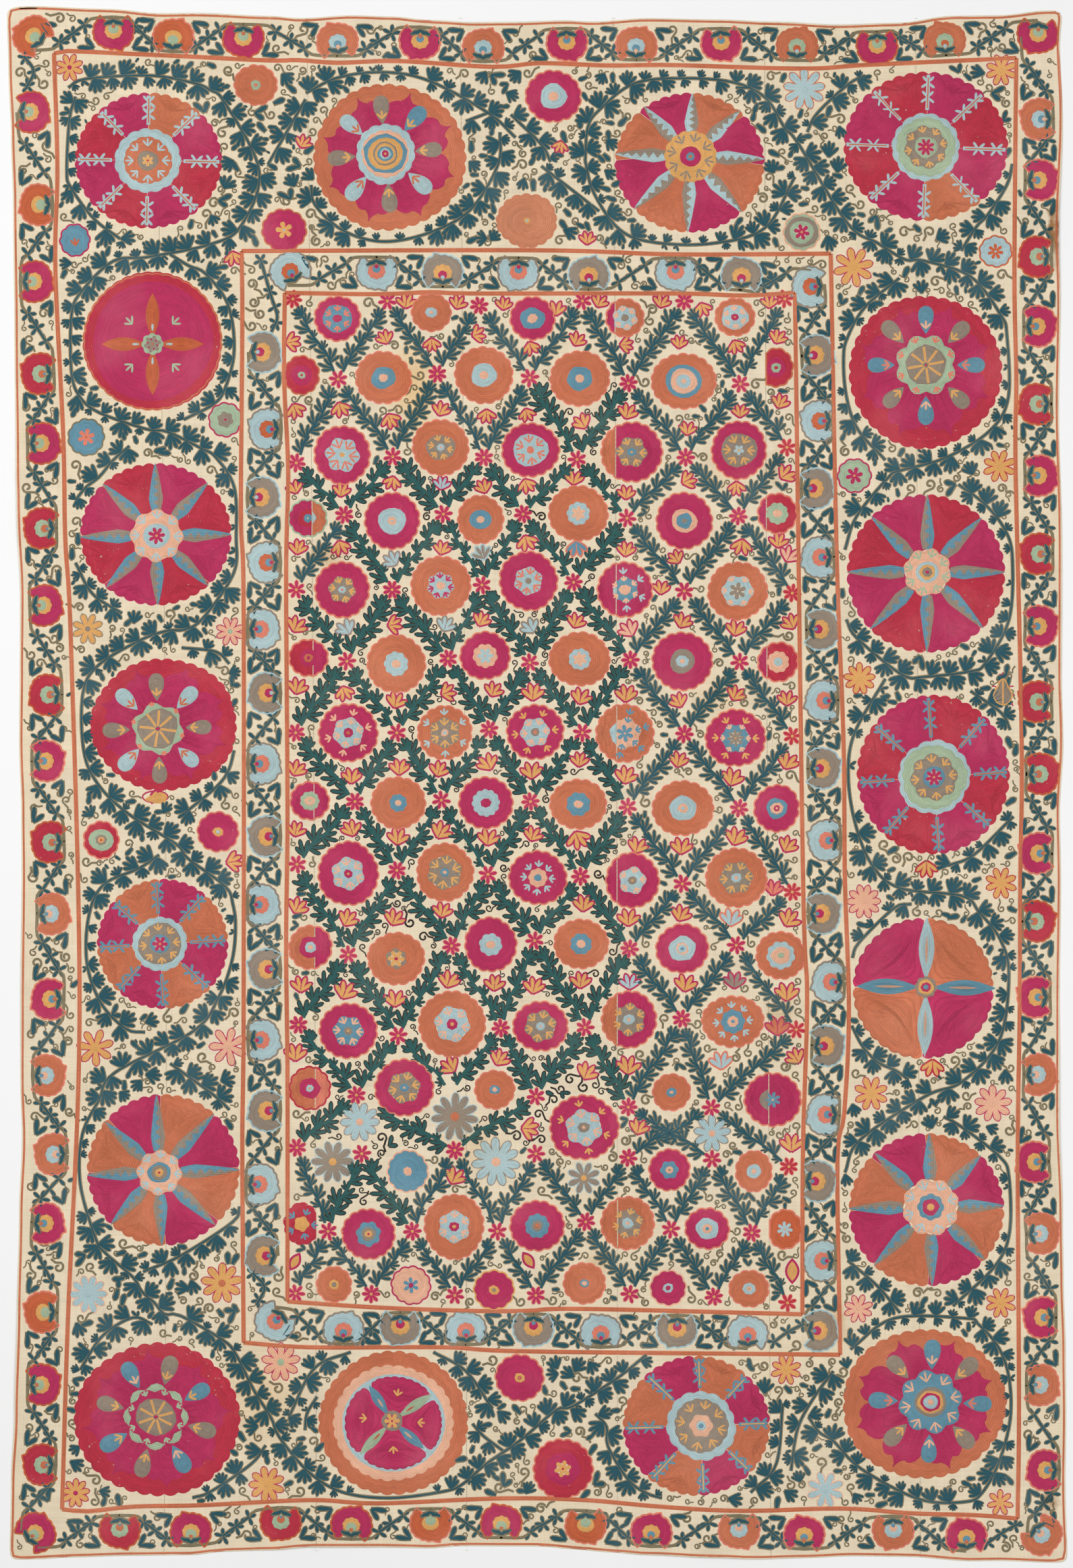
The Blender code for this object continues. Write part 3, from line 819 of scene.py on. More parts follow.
def centre(work, x, y, code, on, rng, cut_at=None):
    """The discs in a flower's middle, one on another, with shoots and spokes. on: the flower's height."""
    marks = marks_of(code)
    for number, (spokes, thread, radius, lobes, inside, outside) in enumerate(marks):
        within = next((mark.radius for mark in marks[number + 1:] if not mark.spokes), 0)
        turn = rng.uniform(0, 360)
        if spokes:
            for spoke in range(8):
                way = turn + 45 * spoke + rng.uniform(-3, 3)
                line = [ahead((x, y), way, far) for far in (4, 4 + radius * 0.4, radius * 0.9)]
                work.ridge(line, [2.8, 3.6, 3.6], thread, on)
            continue
        if lobes and radius < 14:
            for way in (turn + 360 * petal / lobes for petal in range(lobes)):
                foot = ahead((x, y), way, radius * 0.12)
                work.finger(foot, way, radius * 0.86, 2.9 * radius / lobes, thread, on)
            on += STEP
            continue
        flat, corners, bulge, uneven = (
            (1, lobes, 0.36, 0.02) if lobes else (1, 15, 0.2, 0.03) if radius > 36
            else (0.94, 14, 0, 0.06) if radius > 11 else (0.92, 7, 0, 0.08))
        outline = rim(x, y, radius, radius * flat, corners, bulge, turn, rng, uneven)
        if cut_at:
            outline = cut(outline, *cut_at)
            if len(outline) < 4:
                continue
        hole = 0 if cut_at or not within else max(0, (within * 0.88 - 1.5) / radius)
        work.patch(outline, thread, on + STEP, hole, None if cut_at else (x, y))
        count = lobes if lobes > 4 else 8 if radius > 29 else 6
        for shoots, far, long, height, spread, wide in (
                (inside, within + (radius - within) * 0.22, (radius - within) * 0.62, on + STEP, 40, 2.9),
                (outside, radius + 0.5, 10, on, 42, 3.0)):
            for shoot in range(count if shoots else 0):
                way = turn + 360 * (shoot + 0.5 * bool(lobes)) / count
                base = ahead((x, y), way, far)
                if not cut_at or (base[0] > cut_at[0]) == cut_at[1]:
                    work.sprout(base, way, long, shoots, height, spread, wide)
        on += STEP


def rosette(work, x, y, rx, ry, body, edge, code):
    """A round flower with a scalloped rim. One that a seam cuts has a half on each strip, or on one."""
    rng = random.Random(f"rosette {x} {y}")
    outline = rim(x, y, rx, ry, max(9, round((rx + ry) / 5.0)), 0.22, rng.uniform(0, 360), rng, 0.018)
    at = seam_near(x, y, rx + 4) if len(body) == 2 else None
    halves = [] if at is None else [(at - 0.4, False), (at + 0.4, True)]
    one_sided = halves[body[0] == "."] if halves and "." in body else None
    for half, thread in zip(halves, body):
        if thread != ".":
            work.patch(cut(outline, *half), thread, BED)
    if not halves:
        first = marks_of(code.replace("/", " "))[0]
        open_work = "/" in code or first.spokes or first.lobes and first.radius < 14
        hole = 0 if open_work else max(0, (first.radius * 0.88 - 1.5) / max(rx, ry))
        work.patch(outline, body[0], BED, hole, (x, y))
    work.strand(cut(outline, *one_sided) if one_sided else outline, 2.8 if halves else 2.6, edge, BED + STEP,
                (-SINK, BED), closed=True)
    parts = code.split("/")
    for number, part in enumerate(parts):
        centre(work, x, y, part, BED, rng, halves[number] if halves and len(parts) > 1 else one_sided)
    work.discs.append((x, y, (rx + ry) / 2))


def star(work, x, y, radius, petals, way, thread, edge, core, gap=0.5, edging=1.5):
    """A flower of separate petals round a small core. gap: how far past way the first one is, in petals."""
    rng = random.Random(f"star {x} {y}")
    wide = min(2 * math.pi * radius / petals * 0.56, radius * 0.36)
    for turn in (way + 360 * (number + gap) / petals for number in range(petals)):
        long = radius * rng.uniform(0.8, 0.86)
        work.finger(ahead((x, y), turn, radius * 0.16), turn + rng.uniform(-3, 3), long, wide, thread,
                    edge=edge, edging=edging)
    work.patch(rim(x, y, radius * 0.22, radius * 0.22, 7), core, OVER + STEP / 2)
    work.discs.append((x, y, radius))


def tulip(work, x, y, ways, thread="Y", edge="M"):
    """A fan of four petals with a dash in its throat. Those further down the field are larger."""
    rng = random.Random(f"tulip {x} {y}")
    way, size = rng.uniform(*ways), rng.uniform(0.9, 1.12) * (0.82 + y / 4500)
    base, throat = (ahead((x, y), way, back * size) for back in (-9, -8))
    for turn, long in ((-50, 0.9), (-18, 1), (17, 1), (49, 0.9)):
        work.finger(base, way + turn + rng.uniform(-4, 4), 19.5 * size * long, 5.2 * size, thread,
                    edge=edge, edging=2.6)
    work.strand([throat, ahead(throat, way, 7 * size)], 2.4 * size, edge, OVER + STEP)
    work.discs.append((x, y, 9.5 * size))


def teardrop(work, base, way, long, wide, thread, top, shoot=None):
    """A drop with its point at base, and a shoot in its foot."""
    outline = []
    for t in (2 * math.pi * step / 20 for step in range(19, -1, -1)):
        across = wide / 2 * math.sin(t) * math.sin(t / 2) / 0.77
        outline.append(ahead(base, way, long * (0.5 - 0.5 * math.cos(t)), across))
    work.patch(outline, thread, top, middle=ahead(base, way, long * 0.62))
    if shoot:
        work.sprout(ahead(base, way, long * 0.22), way, long * 0.28, shoot, top)


def lens(work, start, way, long, wide, thread, top):
    """A slender leaf, pointed at both ends."""
    outline = [ahead(start, way, long * t, side * wide / 2 * math.sin(math.pi * t) ** 0.85) for side, t in (
        *((-1, step / 8) for step in range(1, 9)), *((1, 1 - step / 8) for step in range(1, 9)))]
    work.patch(outline, thread, top, middle=ahead(start, way, long / 2))


def split_spoke(work, hub, way, near, far, left, right):
    """A pinwheel's spoke: a long leaf of two threads that meet in a row of teeth."""
    rings, top, wide, teeth = [[] for _ in range(5)], BED + STEP, 27, 12
    for step in range(teeth + 1):
        t = step / teeth
        half = wide / 2 * min(1.0, 0.55 + 1.8 * t) * (1 - t) ** 0.72
        inner = half - 0.8 * (1 - t)
        for ring, aside, height in zip(
                rings, (-half - 0.4, -inner, half * (0.42 if step % 2 else -0.42), inner, half + 0.4),
                (-SINK, top, top + STEP / 3, top, -SINK)):
            out = (far - near) * t
            ring.append((*ahead(hub, way, near + out, aside), height, out, aside + wide))
    work.lay(rings[:3], left)
    work.lay(rings[2:], right)


def sprig(work, hub, way, near, far, leaf, stem):
    """A straight stem with two whorls of four small leaves."""
    start, middle, end = (ahead(hub, way, out) for out in (near, (near + far) / 2, far))
    work.ridge([start, middle, end], 5.4, leaf, BED)
    work.ridge([ahead(start, way, 3), middle, ahead(end, way, -4)], 2.2, stem, BED, over=True)
    for share in (0.36, 0.78):
        for turn in (-42, 42, -128, 128):
            work.finger(ahead(start, way, (far - near) * share), way + turn, 12.5, 3.9, leaf, BED)


def wedges(work, oval, hub, ways, near, threads, top=BED, scallops=5):
    """The parts of a medallion between ways from its hub, each out to the scalloped rim."""
    for start, end, thread in zip(ways, ways[1:], threads):
        outer = [round_at(*oval, start + (end - start) * step / scallops) for step in range(scallops + 1)]
        outline = bulged([ahead(hub, start, near), *outer, ahead(hub, end, near)],
                         (0, *[0.22] * scallops, 0, 0))
        out = near + ((oval[2] + oval[3]) / 2 - near) * 0.6
        work.patch(outline, thread, top, middle=ahead(hub, (start + end) / 2, out))


def medallion(work, kind, x, y, rx, ry, hub_x, hub_y, turn, bands, spokes, code):
    """One of the eighteen big medallions of the main border."""
    rng = random.Random(f"medallion {x} {y}")
    hub, reach = (hub_x, hub_y), (rx + ry) / 2
    near = max(marks_of(code)[0].radius - 4, 10)
    oval = x, y, rx * 0.97, ry * 0.97
    eighths, quarters = ([turn + part * number for number in range(360 // part + 1)] for part in (45, 90))
    if kind in ("sprigs", "pinwheel"):
        wedges(work, oval, hub, eighths, near, bands)
        for number, way in enumerate(eighths[:-1]):
            out = math.dist(hub, round_at(x, y, rx, ry, way))
            if kind == "sprigs":
                sprig(work, hub, way, near + 7, out - 5, *spokes)
            else:
                split_spoke(work, hub, way, near, out - 1, *spokes[:: 1 if number % 2 else -1])
    elif kind == "tears":
        work.patch(rim(x, y, rx, ry, 36, 0.2, turn, rng, 0.012), bands[0], BED - STEP, 0.55, hub)
        corners = []
        for way in eighths[:-1]:
            for step, far in ((0, 0.66), (10.5, 0.8), (15.5, 0.8), (22.5, 0.93), (28.5, 0.79), (34.5, 0.81)):
                far *= rng.uniform(0.97, 1.03)
                corners.append(round_at(x, y, rx * far, ry * far, way + step))
        work.patch(bulged(corners, (0.16, 0.12, -0.12, -0.12, 0.12, 0.16), 3), bands[1], BED,
                   (near - 4) / reach, hub)
        for number, way in enumerate(eighths[:-1]):
            long = (reach * 0.79 - near) * rng.uniform(0.94, 1.05)
            teardrop(work, ahead(hub, way, near), way, long, long * 0.56, spokes[number], BED + STEP,
                     {"B": "PYSP"[number % 4], "T": "Y"}.get(spokes[number], "O"))
    elif kind == "cross":
        work.patch(rim(x, y, rx, ry, 40, 0.12, 0, rng, 0.01), bands[1], BED - STEP, 0.7, (x, y))
        line = rim(x, y, rx * 0.985, ry * 0.985, 40, 0.12)
        work.strand(line, 3.2, bands[0], BED, (-SINK, BED - STEP), closed=True)
        work.patch(rim(x, y, rx * 0.87, ry * 0.87, 24, 0.05, 0, rng), bands[2], BED, 0, hub)
        for way in quarters[:-1]:
            lens(work, ahead(hub, way, 8), way, reach * 0.68, 22, spokes[0], BED + STEP)
            work.finger(ahead(hub, way, 20), way, 10, 3.4, "L", BED + STEP)
            work.sprout(ahead(hub, way + 45, 42), way + 45, 14, "G", BED)
    elif kind == "quarters":
        wedges(work, oval, hub, quarters, 4, bands, scallops=9)
        for way, spoke in zip(quarters, spokes):
            lens(work, ahead(hub, way, 10), way, reach * 0.9, 25, spoke, BED + STEP)
            lens(work, ahead(hub, way, 22), way, reach * 0.62, 5.5, "P", BED + STEP * 2)
    else:  # rings
        for far, lobes, bulge, hole, down, thread in zip(
                (1.0, 0.81, 0.69), (36, 30, 24), (0.2, 0.2, 0.06), (0.7, 0.7, 0.58), (2, 1, 0), bands):
            work.patch(rim(x, y, rx * far, ry * far, lobes, bulge, 0, rng, 0.01), thread, BED - STEP * down,
                       hole, (x, y))
        ways = (56, 131, 224, 327, 416)
        wedges(work, (x, y, rx * 0.63, ry * 0.63), hub, ways, 4, bands[3] * 4, BED + STEP, 9)
        for way, following, spoke, long in zip(ways, ways[1:], spokes, (0.58, 0.5, 0.56, 0.5)):
            between = (way + following) / 2
            lens(work, ahead(hub, way, 10), way, reach * long, 17, spoke, BED + STEP * 2)
            lens(work, ahead(hub, way, 20), way, 24, 5, "P" if spoke == "B" else "O", BED + STEP * 3)
            work.sprout(ahead(hub, between, 38), between, 11, "Y", BED + STEP, wide=3.0)
    centre(work, *hub, code, BED + STEP, rng)
    work.discs.append((x, y, reach - 1))


def beetle(work, x, y):
    """The one small beetle in the border, head up: a gourd-shaped body with a stripe, legs and feelers."""
    right = ((5, -13), (7, -6), (11, 0), (14, 8), (10, 17))
    shape = [(0, -17), *right, (0, 22), *((-aside, down) for aside, down in right[::-1])]
    outline = bulged([(x + aside, y + down) for aside, down in shape], (0.1,), 2)
    work.patch(outline, "T", BED, middle=(x, y + 6))
    work.strand(outline, 2.6, "Y", BED + STEP, (-SINK, BED), closed=True)
    work.ridge([(x, y - 15), (x, y + 2), (x, y + 20)], 2.6, "Y", BED)
    work.sprout((x, y - 17), 0, 10, "M", 0.0, 34, 2.6)
    for side in (-1, 1):
        for out, down, lean, long in ((8, -4, 58, 9), (10, 5, 96, 9), (10, 16, 128, 10)):
            work.finger((x + side * out, y + down), side * lean, long, 2.3, "M", bend=side * 40)


# ---------------------------------------------------------------- motifs that are repeated

PALMETTE_KINDS = {
    # letter: (body, edge, centre)
    "M": ("M", "R", "Y15^9 G9 O4"), "m": ("M", "S", "Y15^9 B8^5 O4"), "C": ("C", "R", "G15^9 O8^5 B3"),
    "O": ("R", "S", "Y14 G9"), "o": ("O", "S", "L15^9 B8^5 P4"), "g": ("O", "O", "G15^9 R8^5 L4"),
    "b": ("O", "S", "L15^9 P8^5 B4"), "L": ("L", "T", "R15^9 B8^5 M4"), "l": ("L", "T", "S15^9 B8^5 M4"),
    "T": ("T", "L", "Y16^9 M9^5 L4"), "t": ("T", "L", "Y16^9 M9^5 B4"),
}


def palmette(kind, hand):
    """A half-open flower in its calyx, opening upwards. hand: the side of its crooked tip, 1 for right."""
    work = Needlework()
    body, edge, code = PALMETTE_KINDS[kind]
    corners = [(-10, 16), (-20, 27), (-26, 17), (-29, 7), (-29, -3), (-25, -12), (-17, -18), (-8, -21.5),
               (2, -22.5), (14, -25.5), (17, -19), (26, -11), (29, -1), (30, 9), (27, 18), (21, 27), (10, 16)]
    bulges = [0.05, 0.1, *[0.18] * 6, 0.05, -0.1, *[0.18] * 4, 0.1, 0.05, -0.1]
    if hand < 0:
        corners, bulges = [(-x, y) for x, y in corners[::-1]], bulges[-2::-1] + bulges[-1:]
    outline = bulged(corners, bulges)
    work.patch(outline, body, BED, middle=(0, -2))
    work.strand(outline, 3.0, edge, BED + STEP, (-SINK, BED), closed=True)
    rng = random.Random(kind)
    top = BED
    for number, mark in enumerate(marks_of(code)):
        top += STEP
        high = mark.radius * (0.95 if number else 0.86)
        work.patch(rim(0, 4 + number * 3.5, mark.radius, high, mark.lobes or 12, 0.24 if mark.lobes else 0,
                       20, rng), mark.thread, top)
    calyx = [(-15, 13.5), (-10, 16.5), (-4.5, 17.5), (0, 20.5), (4.5, 17.5), (10, 16.5), (15, 13.5)]
    wides = [2.4, 6.0, 6.8, 5.0, 6.8, 6.0, 2.4]
    work.strand(calyx, [wide + 3.4 for wide in wides], "K", top + UNDER, (top, -SINK))
    work.strand(calyx, wides, "E", top + OVER, (top + STEP, STEP))
    work.discs = [(0, 0, 29)]
    return work


def leaf(lobes, thread, edge, edging, shape=PETAL):
    """A leaf of one or more lobes: (foot, way, length, width, bend, height) each."""
    work = Needlework()
    for foot, way, long, wide, bend, on in lobes:
        work.finger(foot, way, long, wide, thread, on, bend, edge, edging, shape)
    return work


def fan(fingers, spread, long, rng):
    """A border leaf: a wedge that parts into round-ended fingers."""
    lobes = []
    for number in range(fingers):
        share = number / (fingers - 1) - 0.5
        turn = share * 2 * spread + rng.uniform(-3, 3)
        reach = long * (1 - 0.3 * abs(share)) * rng.uniform(0.94, 1.06)
        lobes.append(((0, 1), turn, reach, 4.9, turn * 0.15, STEP * (number % 2) / 4))
    work = leaf(lobes, "E", "K", 1.4, FINGER)
    work.discs = [(0, -10, 4.5), *[disc for disc in work.discs if disc[1] < -7]]
    return work


def tick(first, second, between, wide, *threads):
    """Two lobes from one foot, like a tick."""
    return leaf((((0, 0), 0, first, wide, 8, 0.0), ((0, 0), between, second, wide * 0.92, -8, STEP / 2)),
                *threads, 1.8)


def seed_leaf(long, wide, *threads):
    """A small leaf that lies by itself."""
    return leaf((((0, long / 2), 0, long, wide, 14, 0.0),), *threads, 1.7)


def leaf_star(lobes, rng):
    """Round lobes from one point, all the way round."""
    return leaf((((0, 0), 360 * number / lobes + rng.uniform(-9, 9), 13 * rng.uniform(0.85, 1.1), 4.8, 0, 0)
                 for number in range(lobes)), "E", "K", 1.3)


def fern_hand(side, lobes, rng, wide, *look):
    """The lobes that a fern spreads to one side of its stem, 1 for the right, each (way, length)."""
    return leaf((((0, -number), side * (turn + rng.uniform(-5, 5)), long * rng.uniform(0.93, 1.07), wide,
                  -side * 20, STEP * number / 8) for number, (turn, long) in enumerate(lobes)), *look, FINGER)


def fern_tip(lobes, rng, wide, *look):
    """The lobes that end a fern: (way, length) each, in pairs from the outside in, then the middle one."""
    return leaf((((0, 0), side * turn + rng.uniform(-4, 4), long, wide, -side * turn * 0.3, 0.0)
                 for turn, long in lobes for side in ((-1, 1) if turn else (1,))), *look, FINGER)


def curl(thread, turns, hand, wide):
    """A tendril that rolls up within 10 squares of the origin. hand: 1 rolls clockwise, -1 the other way."""
    work, count = Needlework(), round(12 * turns)
    roll = [ahead((0, 0), hand * (360 * turns * left + 90), 2 + 8 * left ** 0.8)
            for left in (1 - step / count for step in range(count + 1))]
    side = math.copysign(1, roll[0][0])
    lead = [ahead(roll[0], 180, 21, side * -2), ahead(roll[0], 180, 11, side * 2.5)]
    line = smoothed([*lead, *roll[:2]], 9)[:-1] + roll[1:]
    work.ridge(line, [wide] * (len(line) - 1) + [wide * 1.5], thread)
    work.discs = [(0, 0, 10)]
    return work


# ---------------------------------------------------------------- Geometry Nodes


class Sum:
    """What a node gives, for sums written as usual: each operation adds a Math node."""

    def __init__(self, socket):
        self.socket = socket

    def maths(self, operation, *values, clamp=False):
        add = adder(self.socket.id_data)
        return Sum(add("ShaderNodeMath", enumerate((self, *values)), operation=operation, use_clamp=clamp))

    def __add__(self, other):
        return self.maths("ADD", other)

    def __sub__(self, other):
        return self.maths("SUBTRACT", other)

    def __rsub__(self, other):
        return self.maths("MULTIPLY_ADD", -1.0, other)

    def __mul__(self, other):
        return self.maths("MULTIPLY", other)

    def __truediv__(self, other):
        return self.maths("DIVIDE", other)


def adder(tree):
    """A function that adds a node to a tree. inputs: values, or what gives them, by name or number."""
    def add(kind, inputs=(), give=0, **settings):
        node = tree.nodes.new(kind)
        for setting, value in settings.items():
            setattr(node, setting, value)
        for key, value in dict(inputs).items():
            value = getattr(value, "socket", value)
            if isinstance(value, bpy.types.NodeSocket):
                tree.links.new(value, node.inputs[key])
            else:
                node.inputs[key].default_value = value
        return node if give is None or not node.outputs else node.outputs[give]
    return add


def tree_of(kind, name, inputs, outputs):
    """A tree with those named inputs and outputs, a way to add to it, and what its inputs give."""
    tree = bpy.data.node_groups.new(name, kind)
    for label, socket, *value in inputs:
        made = tree.interface.new_socket(label, in_out="INPUT", socket_type=f"NodeSocket{socket}")
        if value:
            made.default_value = value[0]
    for label, socket in outputs:
        tree.interface.new_socket(label, in_out="OUTPUT", socket_type=f"NodeSocket{socket}")
    add = adder(tree)
    given = add("NodeGroupInput", give=None).outputs
    return tree, add, {socket.name: Sum(socket) for socket in given if socket.name}


def read(add, name, kind="FLOAT"):
    """A named attribute."""
    return Sum(add("GeometryNodeInputNamedAttribute", {"Name": name}, "Attribute", data_type=kind))


def finish(add, given, geometry):
    """Ends a tree that makes stitching: real geometry, in its thread."""
    real = add("GeometryNodeRealizeInstances", {"Geometry": geometry})
    add("NodeGroupOutput", {"Geometry": add("GeometryNodeSetMaterial", {
        "Geometry": real, "Material": given["Thread"]})})


def motif_tree():
    """Lays one motif of a collection on each point of a mesh.

    The points' attributes are motif, turn and size. Unevenness turns each motif a little, as a hand does.
    """
    tree, add, given = tree_of("GeometryNodeTree", "laid motifs", (
        ("Geometry", "Geometry"), ("Motifs", "Collection"), ("Unevenness", "Float"), ("Seed", "Int"),
        ("Thread", "Material")), (("Geometry", "Geometry"),))
    choice = add("GeometryNodeCollectionInfo", {
        "Collection": given["Motifs"], "Separate Children": True, "Reset Children": True})
    # its second number is the decimal one
    sway = Sum(add("FunctionNodeRandomValue", {2: -1.0, 3: 1.0, "Seed": given["Seed"]}, 1, data_type="FLOAT"))
    euler = add("ShaderNodeCombineXYZ", {"Z": read(add, "turn") + sway * given["Unevenness"]})
    size = read(add, "size")
    finish(add, given, add("GeometryNodeInstanceOnPoints", {
        "Points": given["Geometry"], "Instance": choice, "Pick Instance": True,
        "Instance Index": read(add, "motif", "INT"),
        "Rotation": add("FunctionNodeEulerToRotation", {0: euler}),
        "Scale": add("ShaderNodeCombineXYZ", {"X": size, "Y": size, "Z": 1.0})}))
    return tree


def line_tree():
    """Couches a row of chain stitch along each line of a mesh: a low arch of the line's own width and dye."""
    tree, add, given = tree_of("GeometryNodeTree", "couched lines", (
        ("Geometry", "Geometry"), ("Flatness", "Float"), ("Arch Points", "Int"), ("Thread", "Material")),
        (("Geometry", "Geometry"),))

    def store(geometry, name, value, kind, domain="POINT"):
        return add("GeometryNodeStoreNamedAttribute", {"Geometry": geometry, "Name": name, "Value": value},
                   data_type=kind, domain=domain)

    wide = read(add, "wide")
    path = add("GeometryNodeMeshToCurve", {"Mesh": given["Geometry"]})
    path = add("GeometryNodeSetCurveNormal", {"Curve": path}, mode="Z_UP")
    path = store(path, "along", add("GeometryNodeSplineParameter", give="Length"), "FLOAT")
    arch = add("GeometryNodeCurveArc", {
        "Resolution": given["Arch Points"], "Radius": 1.0, "Start Angle": math.pi, "Sweep Angle": math.pi})
    arch = add("GeometryNodeTransform", {
        "Geometry": arch, "Scale": add("ShaderNodeCombineXYZ", {"X": 1.0, "Y": given["Flatness"], "Z": 1.0})})
    arch = store(arch, "across", add("GeometryNodeSplineParameter"), "FLOAT")
    swept = add("GeometryNodeCurveToMesh", {"Curve": path, "Profile Curve": arch, "Scale": wide * 0.5})
    place = add("ShaderNodeCombineXYZ", {"X": read(add, "along"), "Y": read(add, "across") * wide})
    rows = store(swept, "rows", place, "FLOAT2", "CORNER")
    dyed = store(rows, "dye", read(add, "dye", "FLOAT_COLOR"), "FLOAT_COLOR", "CORNER")
    finish(add, given, add("GeometryNodeSetShadeSmooth", {"Geometry": dyed}))
    return tree


def grown(mesh, tree, values):
    """What a tree makes of a mesh, as a plain mesh laid on the cloth."""
    seed = bpy.data.objects.new("seed", mesh)
    bpy.context.scene.collection.objects.link(seed)
    modifier = seed.modifiers.new("grow", "NODES")
    modifier.node_group = tree
    for item in tree.interface.items_tree:
        if item.in_out == "INPUT" and item.name in values:
            modifier[item.identifier] = values[item.name]
    bpy.context.view_layer.update()
    evaluated = seed.evaluated_get(bpy.context.evaluated_depsgraph_get())
    made = bpy.data.meshes.new_from_object(evaluated)
    seed.modifiers.remove(modifier)
    bpy.data.objects.remove(seed)
    bpy.data.meshes.remove(mesh)
    lay_down(made)
    return made


def lay_motifs(motifs, spots, material, unevenness=0.04):
    """Lays motifs at their spots, (motif's name, x, y, way, size) each on the chart. Gives the laid mesh."""
    shelf = bpy.data.collections.new("motifs")
    names = sorted(motifs)
    for at, motif in enumerate(names):
        mesh = motifs[motif].mesh(laid=False)
        mesh.materials.append(material)
        shelf.objects.link(bpy.data.objects.new(f"{at:02d} {motif}", mesh))
    points = bpy.data.meshes.new("spots")
    points.from_pydata([(*on_cloth(x, y), 0) for _, x, y, _, _ in spots], [], [])
    for label, kind, values in (
            ("motif", "INT", [names.index(spot[0]) for spot in spots]),
            ("turn", "FLOAT", [-math.radians(spot[3]) for spot in spots]),
            ("size", "FLOAT", [spot[4] for spot in spots])):
        points.attributes.new(label, kind, "POINT").data.foreach_set("value", values)
    tree = bpy.data.node_groups.get("laid motifs") or motif_tree()
    mesh = grown(points, tree, {"Motifs": shelf, "Unevenness": unevenness, "Seed": 7, "Thread": material})
    for pattern in list(shelf.objects):
        bpy.data.meshes.remove(pattern.data)
    bpy.data.collections.remove(shelf)
    return mesh


def couch_lines(lines, material, flatness):
    """Couches lines: (places on the chart, width in squares, thread, height) each. Gives the laid mesh."""
    points, edges, wides, dyes = [], [], [], []
    for line, wide, letter, height in lines:
        edges += [(at, at + 1) for at in range(len(points), len(points) + len(line) - 1)]
        points += [(*on_cloth(*place), height) for place in line]
        wides += [wide * CHART] * len(line)
        dyes += thread_colour(letter) * len(line)
    mesh = bpy.data.meshes.new("lines")
    mesh.from_pydata(points, edges, [])
    mesh.attributes.new("wide", "FLOAT", "POINT").data.foreach_set("value", wides)
    mesh.attributes.new("dye", "FLOAT_COLOR", "POINT").data.foreach_set("color", dyes)
    tree = bpy.data.node_groups.get("couched lines") or line_tree()
    return grown(mesh, tree, {"Flatness": flatness, "Arch Points": 4, "Thread": material})


# ---------------------------------------------------------------- materials


def blended(add, share, first, second, blend="MIX"):
    node = add("ShaderNodeMix", give=None, data_type="RGBA", blend_type=blend)
    for socket, value in zip([s for s in node.inputs if s.enabled], (share, first, second)):
        value = getattr(value, "socket", value)
        if isinstance(value, bpy.types.NodeSocket):
            node.id_data.links.new(value, socket)
        else:
            socket.default_value = value
    return next(s for s in node.outputs if s.enabled)


def ramp(add, value, low, high, from_min=0.0, from_max=1.0):
    return Sum(add("ShaderNodeMapRange", {"Value": value, "From Min": from_min, "From Max": from_max,
                                          "To Min": low, "To Max": high}))


def noise(add, where, scale, detail, give="Fac"):
    return Sum(add("ShaderNodeTexNoise", {"Vector": where, "Scale": scale, "Detail": detail}, give))


def vector(add, operation, give=0, **inputs):
    return add("ShaderNodeVectorMath", {int(key[1:]): value for key, value in inputs.items()}, give,
               operation=operation)


def toned(add, colour, tone):
    """A colour made lighter or darker by a tone."""
    return blended(add, 1.0, colour, add("ShaderNodeCombineColor", {0: tone, 1: tone, 2: tone}), "MULTIPLY")


def material_of(name, roughness, specular=0.5, sheen=0.0):
    """A material, a way to add to its nodes, its shader's inputs, and where each point is on the cloth."""
    material = bpy.data.materials.new(name)
    material.use_nodes = True
    shader = material.node_tree.nodes["Principled BSDF"].inputs
    shader["Roughness"].default_value = roughness
    shader["Specular IOR Level"].default_value = specular
    shader["Sheen Weight"].default_value = sheen
    add = adder(material.node_tree)
    return material, add, shader, add("ShaderNodeTexCoord", give="Object")


def dress(add, shader, colour, roughness, height, distance, strength):
    """Links a shader's colour, its roughness, and its normal from a height."""
    bump = add("ShaderNodeBump", {"Height": height, "Distance": distance, "Strength": strength})
    for socket, value in (("Base Color", colour), ("Roughness", roughness.socket), ("Normal", bump)):
        shader[socket].id_data.links.new(value, shader[socket])


# Marks of age on the cloth, by place on the chart. depth: how dark; brown: from an ochre spill to dark brown.
STAINS = (
    # x, y, rx, ry, depth, brown
    (612, 575, 42, 85, 0.75, 0.0), (1562, 345, 12, 60, 1.0, 1.0), (1146, 690, 24, 30, 0.5, 0.6),
    (1243, 1960, 22, 34, 0.6, 0.5), (1556, 2226, 18, 26, 0.8, 0.8), (486, 826, 30, 22, 0.6, 0.5),
    (1160, 1500, 30, 26, 0.5, 0.5), (886, 1872, 28, 24, 0.5, 0.4), (390, 2075, 85, 100, 0.35, 0.1),
    (1075, 700, 50, 40, 0.3, 0.1), (1070, 1035, 60, 45, 0.3, 0.1), (700, 1690, 60, 60, 0.35, 0.1),
)


